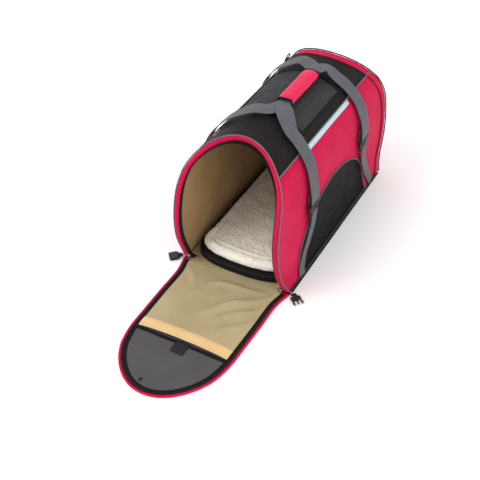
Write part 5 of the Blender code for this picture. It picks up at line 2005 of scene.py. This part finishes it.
# ------------------------------------------------------------------ door
@dataclass
class Door:
    """Zip-off front door let down on the floor: outer cloth, rolled edge, tape, pocket, mesh."""

    form: Outline
    finishes: Finishes
    length: float = 0.388
    folds: tuple = (0.117, 0.233)
    hinge_y: float = -0.2635
    under: float = 0.0004
    thick: float = 0.0024
    tape: float = 0.0130
    edge: float = 0.0045
    frame: float = 0.0200
    hem: float = 0.0260
    split: float = 0.175
    hem_lift: float = 0.0072
    edges: Array = field(init=False)

    def __post_init__(self) -> None:
        """Unroll the bowed front outline into the flat door."""
        t = np.linspace(0, 1, 400)
        y = self.form.front(t * self.form.height)
        arc = np.concatenate([[0.0], np.cumsum(np.hypot(np.diff(y),
                                                        np.diff(t * self.form.height)))])
        a = arc * self.length / arc[-1]
        line = np.stack([self.form.half_width(t * self.form.height), a], -1)
        run = np.concatenate([[0.0], np.cumsum(np.hypot(*np.diff(line, axis=0).T))])
        at = np.linspace(0, run[-1], 700)
        self.edges = np.stack([np.interp(at, run, line[:, i]) for i in (0, 1)], -1)

    def half(self, a: Array) -> Array:
        """Half width of the door at a distance from its hinge."""
        return np.interp(a, self.edges[:, 1], self.edges[:, 0])

    def side(self, inset: float, start: float, stop: float, count: int
             ) -> tuple[Array, Array]:
        """Right-hand edge of the door, inset all round.

        Args:
            inset: distance inwards from the door's edge.
            start: distance from the hinge at which it starts.
            stop: distance at which it ends, the door's length for the tip.
            count: number of points.

        Returns:
            (count, 2) points as x and distance, and inward directions of the same kind.
        """
        tangent = np.gradient(self.edges, axis=0)
        tangent[-1] = (-1.0, 0.0)
        tangent = unit(tangent)
        inward = np.stack([-tangent[:, 1], tangent[:, 0]], -1)
        line = self.edges + inward * inset
        line[-1, 0] = 0.0
        keep = (line[:, 1] >= start - 1e-9) & (self.edges[:, 1] <= stop + 1e-9)
        if stop < self.length - 1e-6:
            keep &= line[:, 1] <= stop
        part, turned = line[keep], inward[keep]
        ends = [[np.interp(start, line[:340, 1], line[:340, 0]), start]]
        part, turned = np.vstack([ends, part]), np.vstack([turned[:1], turned])
        if stop < self.length - 1e-6:
            ends = [[np.interp(stop, line[:500, 1], line[:500, 0]), stop]]
            part, turned = np.vstack([part, ends]), np.vstack([turned, turned[-1:]])
        run = np.concatenate([[0.0], np.cumsum(np.hypot(*np.diff(part, axis=0).T))])
        at = np.linspace(0, run[-1], count)
        return (np.stack([np.interp(at, run, part[:, i]) for i in (0, 1)], -1),
                np.stack([np.interp(at, run, turned[:, i]) for i in (0, 1)], -1))

    def lines(self, inset: float, start: float, stop: float, z: float, spacing: float
              ) -> list[tuple[Array, Array]]:
        """World lines along the door's edge: two sides, or one round the tip.

        Args:
            inset: distance inwards from the edge.
            start: distance from the hinge at which they start.
            stop: distance at which they end.
            z: height.
            spacing: distance between points.

        Returns:
            Lines with their inward directions.
        """
        whole = stop >= self.length - 1e-6
        count = max(8, int((stop - start) * (1.45 if whole else 1.0) / spacing))
        flat, inward = self.side(inset, start, stop, count)
        right = np.stack([flat[:, 0], self.hinge_y - flat[:, 1], np.full(count, z)], -1)
        turned = np.stack([inward[:, 0], -inward[:, 1], np.zeros(count)], -1)
        mirror = np.array((-1, 1, 1))
        left, left_turned = right * mirror, turned * mirror
        if not whole:
            return [(right, turned), (left, left_turned)]
        return [(np.vstack([right, left[-2::-1]]), np.vstack([turned, left_turned[-2::-1]]))]

    def band(self, name: str, inset: float, start: float, stop: float, z: float,
             profile: Array, finish: bpy.types.Material) -> bpy.types.Object:
        """Band that follows the door's edge; profile runs inwards and up."""
        parts = []
        for line, inward in self.lines(inset, start, stop, z, 0.003):
            up = np.broadcast_to((0.0, 0.0, 1.0), line.shape)
            parts.append(sweep_data(line, inward, up, profile))
        return finish_mesh(name, *join_data(parts), finish)

    def fold_points(self, which: int) -> tuple[tuple, tuple]:
        """Where a fold begins and ends along the door."""
        y = self.hinge_y - self.folds[which]
        return (0, y + 0.012, 0), (0, y - 0.012, 0)

    def lay(self, piece: bpy.types.Object, part: int, slot: str, *nodes: str) -> None:
        """Bake a door piece in place, logging the two bodies on either side of the low fold (0) or
        the high fold (1).
        """
        bodies = (("door_lower", "door_middle"), ("door_middle", "door_upper"))[part]
        bend(piece, bodies, *self.fold_points(part), slot, *nodes)

    def panel(self, name: str, a0: float, a1: float) -> tuple[Array, list, list]:
        """Data of the outer cloth between two distances from the hinge."""
        a = np.linspace(a0, a1, max(6, int((a1 - a0) / 0.004)))[:, None]
        share = np.linspace(-1, 1, 45)[None]
        x = (self.half(a) - 0.0006) * share
        y = self.hinge_y - a + 0 * share
        top = np.stack([x, y, self.under + self.thick + 0 * x], -1)
        low = np.stack([x, y, self.under + 0 * x], -1)
        piece = slab(name, top, low, np.stack([x, y], -1), self.finishes.magenta)
        data = (np.array([v.co for v in piece.data.vertices]),
                [tuple(p.vertices) for p in piece.data.polygons],
                [[tuple(piece.data.uv_layers[0].data[i].uv) for i in p.loop_indices]
                 for p in piece.data.polygons])
        bpy.data.objects.remove(piece, do_unlink=True)
        return data

    def pocket_height(self, x: Array, a: Array) -> Array:
        """Height of the pocket's cloth: pinned at its sides, creased, lifted at the hem."""
        half = self.half(a) - self.edge - self.tape
        share = np.clip(np.abs(x) / np.maximum(half, 1e-6), 0, 1)
        free = (1 - share ** 6) * np.clip((a - 0.012) / 0.02, 0, 1)
        lift = 0.0012 * free + 0.0007 * free * ripple(x, a, 0.075, 71)
        for x0, a0, x1, a1, tall, wide in (
                (0.118, 0.016, -0.005, 0.135, 0.0036, 0.010),
                (0.122, 0.045, 0.020, 0.165, 0.0030, 0.009),
                (0.110, 0.012, -0.060, 0.060, 0.0024, 0.008),
                (0.123, 0.085, 0.045, 0.190, 0.0022, 0.008),
                (-0.118, 0.020, -0.050, 0.090, 0.0018, 0.009),
                (-0.020, 0.020, -0.075, 0.150, 0.0016, 0.014),
                (0.055, 0.060, -0.030, 0.185, 0.0018, 0.012)):
            line = np.array((x1 - x0, a1 - a0))
            long = float(np.hypot(*line))
            line = line / long
            s = (x - x0) * line[0] + (a - a0) * line[1]
            d = -(x - x0) * line[1] + (a - a0) * line[0] + 0.006 * np.sin(s * 40)
            fade = np.clip(s / 0.02, 0, 1) * np.clip((long - s) / 0.05, 0, 1)
            lift = lift + 1.5 * free * tall * fade * (np.exp(-(d / wide) ** 2)
                                                - 0.35 * np.exp(-((d - 1.6 * wide) / wide) ** 2))
        arch = (1 - share ** 2) ** 0.8
        near = np.clip((a - 0.150) / 0.070, 0, 1)
        lift = lift * (1 - 0.6 * near) + self.hem_lift * arch * near ** 2 * (3 - 2 * near)
        return 0.0050 + np.maximum(lift, -0.0006)

    def build_outer(self, run_of: RunOfPieces) -> None:
        """Outer cloth, rolled edge, zip tape and its coil."""
        fin, tip = self.finishes, self.length
        data = self.panel("door_part", 0.0005, self.split)
        self.lay(finish_mesh("door_cloth_lower", *data, fin.magenta), 0, "magenta_nylon",
                 "door_panel_lower", "door_panel_middle")
        data = self.panel("door_part", self.split, self.folds[1])
        profile = flat_profile(self.frame - 0.001, self.thick, 1.0, 0.0, 6)
        rings = [sweep_data(line, inward, np.broadcast_to((0.0, 0, 1.0), line.shape), profile)
                 for line, inward in self.lines(0.0005 + self.frame / 2, self.folds[1], tip,
                                                self.under + self.thick / 2, 0.003)]
        self.lay(finish_mesh("door_cloth_upper", *join_data([data, *rings]), fin.magenta), 1,
                 "magenta_nylon", "door_panel_upper")
        roll = round_profile(0.0026, 12, 0.92)
        for part, start, stop in ((0, 0.002, self.split), (1, self.split, tip)):
            word = ("lower", "upper")[part]
            self.lay(self.band(f"door_rolled_edge_{word}", 0.0024, start, stop, 0.0031, roll,
                               fin.magenta), part, "magenta_nylon")
            nodes = (("door_tape_lower_left", "door_tape_lower_right", "door_tape_middle_left",
                      "door_tape_middle_right"), ("door_tape_upper",))[part]
            flat = flat_profile(self.tape, 0.0013, 0.9, 0.0002, 8)
            middle = self.edge + self.tape / 2
            self.lay(self.band(f"door_zip_tape_{word}", middle, max(start, 0.006), stop,
                               0.0038, flat, fin.tape), part, "black_nylon", *nodes)
            rows = [(line, np.array([[0, 0, 1.0]])) for line, _ in
                    self.lines(self.edge + 0.0026, max(start, 0.012), stop, 0.0052, 0.003)]
            self.lay(run_of.lay(f"door_zip_coil_{word}", rows, fin.coil, 0.0015, 0.0012,
                                0.0034, 0.0016), part, "black_nylon")
            rows = [(line, np.array([[0, 0, 1.0]])) for line, _ in
                    self.lines(self.edge + self.tape - 0.0022, max(start, 0.012), stop,
                               0.0047, 0.003)]
            self.lay(run_of.lay(f"door_tape_stitches_{word}", rows, fin.dark_thread, 0.0034,
                                0.0024, 0.0007, 0.0006), part, "black_nylon")

    def build_pocket(self, run_of: RunOfPieces) -> None:
        """Creased pocket cloth, its raised hem, and the threshold cloth over the hinge."""
        a0, a1 = 0.012, self.folds[1] - self.hem + 0.001
        a = np.linspace(a0, a1, 110)[:, None]
        share = np.linspace(-1, 1, 112)[None]
        x = (self.half(a) - self.edge - self.tape + 0.0012) * share
        a = a + 0 * share
        z = self.pocket_height(x, a)
        y = self.hinge_y - a
        cloth = slab("pocket_cloth", np.stack([x, y, z], -1), np.stack([x, y, z - 0.0007], -1),
                     np.stack([x, y], -1), self.finishes.pocket)
        self.lay(cloth, 0, "beige_lining", "door_pocket_lower", "door_pocket_middle")
        width = 2 * float(self.half(0.12) - self.edge - self.tape)
        a0, a1 = self.folds[1] - self.hem, self.folds[1] - 0.0006
        t = np.linspace(0, 1, 15)
        loop = np.concatenate([t, t[::-1]])
        share = np.linspace(-1, 1, 100)[:, None]
        a = a0 + (a1 - a0) * loop[None] + 0 * share
        x = (self.half(a) - self.edge - self.tape + 0.0016) * share
        z = self.pocket_height(x, a)
        fold = 0.0013 * np.clip(np.sin(math.pi * np.clip(loop, 0.04, 0.96)), 0, 1) ** 0.35
        up = np.concatenate([np.ones(15), -np.ones(15)])
        droop = 0.0008 * np.clip((loop - 0.6) / 0.4, 0, 1)
        z = z + 0.0004 + (fold * up - droop)[None]
        verts = np.stack([x, self.hinge_y - a, z], -1)
        count, sides = verts.shape[:2]
        faces = [(i * sides + j, i * sides + (j + 1) % sides,
                  (i + 1) * sides + (j + 1) % sides, (i + 1) * sides + j)
                 for i in range(count - 1) for j in range(sides)]
        faces += [tuple(range(sides))[::-1], tuple(range((count - 1) * sides, count * sides))]
        flat = verts.reshape(-1, 3)
        corners = [[(flat[i][0], flat[i][1]) for i in face] for face in faces]
        hem = finish_mesh("pocket_hem", flat, faces, corners, self.finishes.hem, 75)
        attach(hem, "door_middle", "tan_hem", "door_pocket_hem")
        rows = []
        for share_a in (0.16, 0.84):
            line_a = a0 + (a1 - a0) * share_a
            half = float(self.half(line_a)) - self.edge - self.tape - 0.001
            xs = np.linspace(-half, half, 120)
            aa = np.full(120, line_a)
            rows.append((np.stack([xs, self.hinge_y - aa,
                                   self.pocket_height(xs, aa) + 0.0016], -1),
                         np.array([[0, 0, 1.0]])))
        attach(run_of.lay("hem_stitches", rows, self.finishes.sand_thread, 0.0034, 0.0024,
                          0.0007, 0.0006), "door_middle", "tan_hem")
        x = np.linspace(-0.118, 0.118, 70)[:, None] + 0 * np.zeros((1, 22))
        y = np.linspace(-0.2505, -0.2770, 22)[None] + 0 * x
        lump = 0.0007 * np.sin((y + 0.2505) / 0.0265 * -math.pi) + 0.0003 * ripple(x, y, 0.04, 77)
        z = 0.0052 + lump
        cloth = slab("threshold_cloth", np.stack([x, y, z], -1),
                     np.stack([x, y, z - 0.0008], -1), np.stack([x, y], -1),
                     self.finishes.pocket)
        bend(cloth, ("bag", "door_lower"), (0, -0.2590, 0), (0, -0.2680, 0), "beige_lining")

    def build_mesh(self) -> None:
        """See-through mesh of the upper door, its two cloth tabs, and a black strip past the hem
        that paints the shadow under it.
        """
        line, _ = self.side(self.edge + self.tape - 0.0022, self.folds[1] - 0.010, self.length, 90)
        share = np.linspace(-1, 1, 61)[None]
        x = line[:, :1] * share
        a = line[:, 1:] + 0 * share
        tip = self.length - self.edge - self.tape
        edge = np.minimum((1 - np.abs(share)) * line[:, :1], tip - a)
        wave = (1 - tuck(edge, 0.02)) * (0.0009 + 0.0009 * ripple(x, a, 0.09, 81))
        z = self.under + self.thick + 0.0008 + np.maximum(wave, 0)
        y = self.hinge_y - a
        net = slab("door_net", np.stack([x, y, z], -1), np.stack([x, y, z - 0.0006], -1),
                   np.stack([x, y], -1), self.finishes.door_net)
        attach(net, "door_upper", "mesh_fabric", "door_mesh")
        # black strip across the door just past the raised hem: drawn as the mesh's binding, it
        # paints the shadow under the hem
        at = self.folds[1] + 0.0056
        half = float(self.half(at)) - self.edge - self.tape + 0.001
        xs = np.linspace(-half, half, 60)
        path = np.stack([xs, np.full(60, self.hinge_y - at),
                         np.full(60, self.under + self.thick + 0.0024)], -1)
        across, out = path_frames(path, np.array((0, 0, 1.0)))
        attach(sweep("hem_shadow_binding", path, across, out, flat_profile(0.0085, 0.0012, 0.9, 0.0, 6),
                     self.finishes.tape), "door_upper", "black_nylon")
        tabs = (("door_pull_loop", "door_pull_tab", 0.0010, 0.0014, 1.15),
                ("door_tip_loop", "door_tip_tab", 0.0008, 0.0014, 0.7))
        for name, node, rise, lift, grow in tabs:
            low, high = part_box(node)
            centre = (low + high) / 2
            wide, long = (high.x - low.x) * grow, (high.y - low.y) * grow
            t = np.linspace(-0.5, 0.5, 26)
            path = np.stack([np.full(26, centre.x), centre.y + t * long,
                             centre.z + lift + rise * np.cos(t * math.pi)], -1)
            across, out = path_frames(path, np.array((0, 0, 1.0)))
            tab = sweep(name, path, across, out, flat_profile(wide, 0.0013, 1.0, 0.0003, 8),
                        self.finishes.black_webbing)
            attach(tab, "door_upper", "black_nylon", node)

    def build(self, run_of: RunOfPieces) -> None:
        """Build and dress the door."""
        self.build_outer(run_of)
        self.build_pocket(run_of)
        self.build_mesh()


# ------------------------------------------------------------------ small fittings
@dataclass
class Fittings:
    """Zip sliders, side-release buckle halves, the ring, and their webbing tabs."""

    form: Outline
    finishes: Finishes

    def eye(self, name: str, root: Vector, bar: Vector, out: Vector, normal: Vector,
            along: Vector, width: float, radius: float = 0.0027) -> bpy.types.Object:
        """Webbing tab from its root over a bar and back under it.

        Args:
            name: the piece's name.
            root: where it leaves its seam.
            bar: middle of the bar.
            out: direction from root to bar.
            normal: direction out of the tab's face.
            along: the bar's direction.
            width: the tab's width.
            radius: distance of its middle from the bar's.

        Returns:
            The tab.
        """
        points = [root, root + out * 0.004, bar - out * 0.0034 + normal * radius]
        points += [bar + out * (radius * math.sin(a)) + normal * (radius * math.cos(a))
                   for a in np.linspace(0, math.pi, 13)]
        points.append(bar - out * 0.0034 - normal * radius)
        path = np.array([tuple(p) for p in points])
        tangent = np.gradient(path, axis=0)
        tangent = unit(tangent)
        wide = np.broadcast_to(np.array(along), path.shape)
        return sweep(name, path, wide, np.cross(tangent, wide),
                     flat_profile(width, 0.0012, 1.05, 0.0, 8), self.finishes.black_webbing)

    def build_buckles(self) -> None:
        """The three-pronged half on the right corner and the socket on the left."""
        half = self.form.widths[0][1]
        for sign, side in ((1, "right"), (-1, "left")):
            out = Vector((sign * 0.75, -0.66, 0.0)).normalized()
            along = Vector((-out.y * sign, out.x * sign, 0.0))
            root = Vector((sign * (half + 0.0058), -self.form.length / 2 - 0.0020, 0.0042))
            bar = root + out * 0.0115
            tab = self.eye(f"buckle_webbing_{side}", root, bar, out, Vector((0, 0, 1)), along,
                           0.0124)
            attach(tab, "bag", "black_nylon", f"buckle_tab_{side}")
            part = Moulding()
            part.tube([(-0.0105, 0, 0), (0.0105, 0, 0)], 0.0013)
            if sign > 0:
                for x in (-0.0100, 0.0100):
                    part.block((x, 0.0030, 0), (0.0030, 0.0080, 0.0036), 0.0009)
                part.plate([(-0.0115, 0.0046), (0.0115, 0.0046), (0.0108, 0.0105),
                            (-0.0108, 0.0105)], -0.0024, 0.0024, 0.0008)
                part.block((0, 0.0074, 0.0026), (0.0150, 0.0024, 0.0010), 0.0004)
                part.plate([(-0.0015, 0.0095), (0.0015, 0.0095), (0.0013, 0.0235),
                            (-0.0013, 0.0235)], -0.0011, 0.0011, 0.0005)
                for m in (-1, 1):
                    arm = [(m * 0.0104, 0.0095), (m * 0.0110, 0.0150), (m * 0.0118, 0.0188),
                           (m * 0.0112, 0.0226), (m * 0.0084, 0.0248), (m * 0.0078, 0.0205),
                           (m * 0.0080, 0.0150), (m * 0.0082, 0.0095)]
                    part.plate(arm if m > 0 else arm[::-1], -0.0015, 0.0015, 0.0005)
            else:
                for x in (-0.0104, 0.0104):
                    part.block((x, 0.0026, 0), (0.0034, 0.0072, 0.0040), 0.0010)
                for z in (-0.0022, 0.0022):
                    part.plate([(-0.0125, 0.0042), (0.0125, 0.0042), (0.0112, 0.0215),
                                (-0.0112, 0.0215)], z - 0.0007, z + 0.0007, 0.0005)
                part.block((0, 0.0056, 0), (0.0240, 0.0030, 0.0040), 0.0008)
                for x in (-0.0045, 0.0045):
                    part.block((x, 0.0140, 0), (0.0012, 0.0140, 0.0040), 0.0004)
                for m in (-1, 1):
                    part.block((m * 0.0108, 0.0190, 0), (0.0026, 0.0036, 0.0040), 0.0008)
                part.block((0, 0.0120, 0.0031), (0.0100, 0.0070, 0.0008), 0.0003)
            name = "buckle_prongs_right" if sign > 0 else "buckle_socket_left"
            piece = part.finish(name.replace("_right", "").replace("_left", "") + "_half",
                                self.finishes.plastic, bar, along if sign > 0 else -along, out)
            attach(piece, f"buckle_{side}", "buckle_plastic", name)

    def build_sliders(self) -> None:
        """Cast zip sliders with their pulls, at the feet of the front zip."""
        for sign, side in ((1, "right"), (-1, "left")):
            low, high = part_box(f"slider_{side}")
            up = Vector((-sign * 0.1586, -0.4167, 0.8951))
            across = Vector((1, 0, 0))
            if across.cross(up).y > 0:
                across = -across
            part = Moulding()
            wings = [(-0.0036, -0.0052), (0.0036, -0.0052), (0.0052, 0.0034), (0.0026, 0.0055),
                     (-0.0026, 0.0055), (-0.0052, 0.0034)]
            part.plate(wings, 0.0006, 0.0018, 0.0004)
            part.plate(wings, -0.0010, 0.0000, 0.0003)
            part.block((0, 0.0030, 0.0003), (0.0014, 0.0040, 0.0016), 0.0003)
            part.tube([(0, -0.0036, 0.0018), (0, -0.0030, 0.0034), (0, 0.0, 0.0039),
                       (0, 0.0030, 0.0034), (0, 0.0036, 0.0018)], 0.0007, False, 8)
            part.tube([(0.0022 * math.cos(a), -0.0046 + 0.0028 * math.sin(a), 0.0032)
                       for a in np.linspace(0, 2 * math.pi, 17)[:-1]], 0.0006, True, 8)
            part.plate([(-0.0022, -0.0190), (0.0022, -0.0190), (0.0026, -0.0085),
                        (0.0016, -0.0066), (-0.0016, -0.0066), (-0.0026, -0.0085)], 0.0026,
                       0.0038, 0.0004)
            piece = part.finish(f"zip_slider_{side}", self.finishes.zinc, (low + high) / 2,
                                across, up)
            attach(piece, f"slider_{side}", "zinc_alloy", f"slider_{side}")

    def build_ring(self) -> None:
        """D-ring and its tab at the rear left shoulder."""
        z = 0.262
        run = self.form.total - self.form.run_at_height(z)
        y = float(self.form.rear(z)) - 0.040
        at = np.array([run, run - 0.004])
        p, q = (Vector(v) for v in self.form.place(at, np.array([y, y]), 0.0011))
        n = self.form.section(at)[1][0]
        normal = Vector((n[0], 0.0, n[1]))
        up = (q - p).normalized()
        along = Vector((0, 1, 0))
        bar = p + up * 0.020 + normal * 0.0042
        attach(self.eye("ring_webbing", p - up * 0.002, bar, up, normal, along, 0.0170), "bag",
               "black_nylon", "ring_tab")
        path = [(-0.0115, 0.0, 0.0)] + [(0.0115 * math.cos(a), 0.004 + 0.013 * math.sin(a), 0.0)
                                        for a in np.linspace(math.pi, 0, 25)]
        path.append((0.0115, 0.0, 0.0))
        path += [(x, 0.0, 0.0) for x in np.linspace(0.0115, -0.0115, 12)[1:-1]]
        part = Moulding()
        part.tube(path, 0.0015, True, 12)
        attach(part.finish("carrying_ring", self.finishes.plastic, bar, along, up), "ring",
               "buckle_plastic", "carry_ring")

    def build(self) -> None:
        """Build and dress the fittings."""
        self.build_buckles()
        self.build_sliders()
        self.build_ring()


# ------------------------------------------------------------------ studio
@dataclass
class Studio:
    """Pale floor, soft lights and the camera, high in front of the bag's right corner."""

    azimuth: float = 29.74
    elevation: float = 40.5403
    distance: float = 2.2873
    lens: float = 65.73
    roll: float = -1.5416
    target: tuple = (-0.1251, -0.0190, -0.1264)
    floor_hex: str = "FBFBFB"
    floor_half: float = 9.0
    sky: float = 1.0
    key_power: float = 42.0
    fill_power: float = 16.0

    def camera(self) -> None:
        """Make the camera and set it as the scene's."""
        az, el, r = (math.radians(v) for v in (self.azimuth, self.elevation, self.roll))
        back = Vector((math.sin(az) * math.cos(el), -math.cos(az) * math.cos(el), math.sin(el)))
        right = Vector((0, 0, 1)).cross(back).normalized()
        up = back.cross(right)
        x = math.cos(r) * right + math.sin(r) * up
        y = -math.sin(r) * right + math.cos(r) * up
        data = bpy.data.cameras.new("studio_camera")
        data.lens, data.sensor_width = self.lens, 36.0
        data.clip_start, data.clip_end = 0.05, 60.0
        made = bpy.data.objects.new("studio_camera", data)
        to_scene(made)
        place = Vector(self.target) + back * self.distance
        made.matrix_world = Matrix.Translation(place) @ Matrix((x, y, back)).transposed().to_4x4()
        bpy.context.scene.camera = made

    def floor(self) -> None:
        """Plain pale floor under everything."""
        mesh = bpy.data.meshes.new("studio_floor")
        half = self.floor_half
        mesh.from_pydata([(-half, -half, 0), (half, -half, 0), (half, half, 0),
                          (-half, half, 0)], [], [(0, 1, 2, 3)])
        made = bpy.data.objects.new("studio_floor", mesh)
        to_scene(made)
        material, _, shader = fresh_material("studio_floor_paper")
        shader.inputs["Base Color"].default_value = linear(self.floor_hex)
        shader.inputs["Roughness"].default_value = 0.95
        mesh.materials.append(material)

    def light(self, name: str, place: Sequence[float], aim: Sequence[float], size: float,
              power: float) -> None:
        """Add a square soft light."""
        data = bpy.data.lights.new(name, "AREA")
        data.size, data.energy = size, power
        made = bpy.data.objects.new(name, data)
        to_scene(made)
        made.location = place
        made.rotation_euler = (Vector(place) - Vector(aim)).to_track_quat("Z", "Y").to_euler()

    def build(self) -> None:
        """Set up the studio."""
        self.camera()
        self.floor()
        world = bpy.data.worlds.new("studio_world")
        world.use_nodes = True
        world.node_tree.nodes["Background"].inputs["Color"].default_value = (1, 1, 1, 1)
        world.node_tree.nodes["Background"].inputs["Strength"].default_value = self.sky
        bpy.context.scene.world = world
        bpy.context.scene.view_settings.view_transform = "Standard"
        self.light("key", (-1.6, -1.9, 2.6), (0, -0.1, 0.1), 1.8, self.key_power)
        self.light("fill", (2.4, -0.8, 1.9), (0, 0, 0.15), 2.0, self.fill_power)


def main() -> None:
    """Build the bag, sub-assembly by sub-assembly."""
    logging.basicConfig(level=logging.INFO, format="%(name)s: %(message)s")
    Studio().build()
    form, finishes, run_of = Outline(), Finishes(), RunOfPieces()
    Shell(form, finishes).build(run_of)
    Rims(form, finishes).build(run_of)
    Bed(finishes).build()
    Handles(form, finishes).build(run_of)
    Door(form, finishes).build(run_of)
    Fittings(form, finishes).build()
    bpy.context.view_layer.update()


if __name__ == "__main__":
    main()
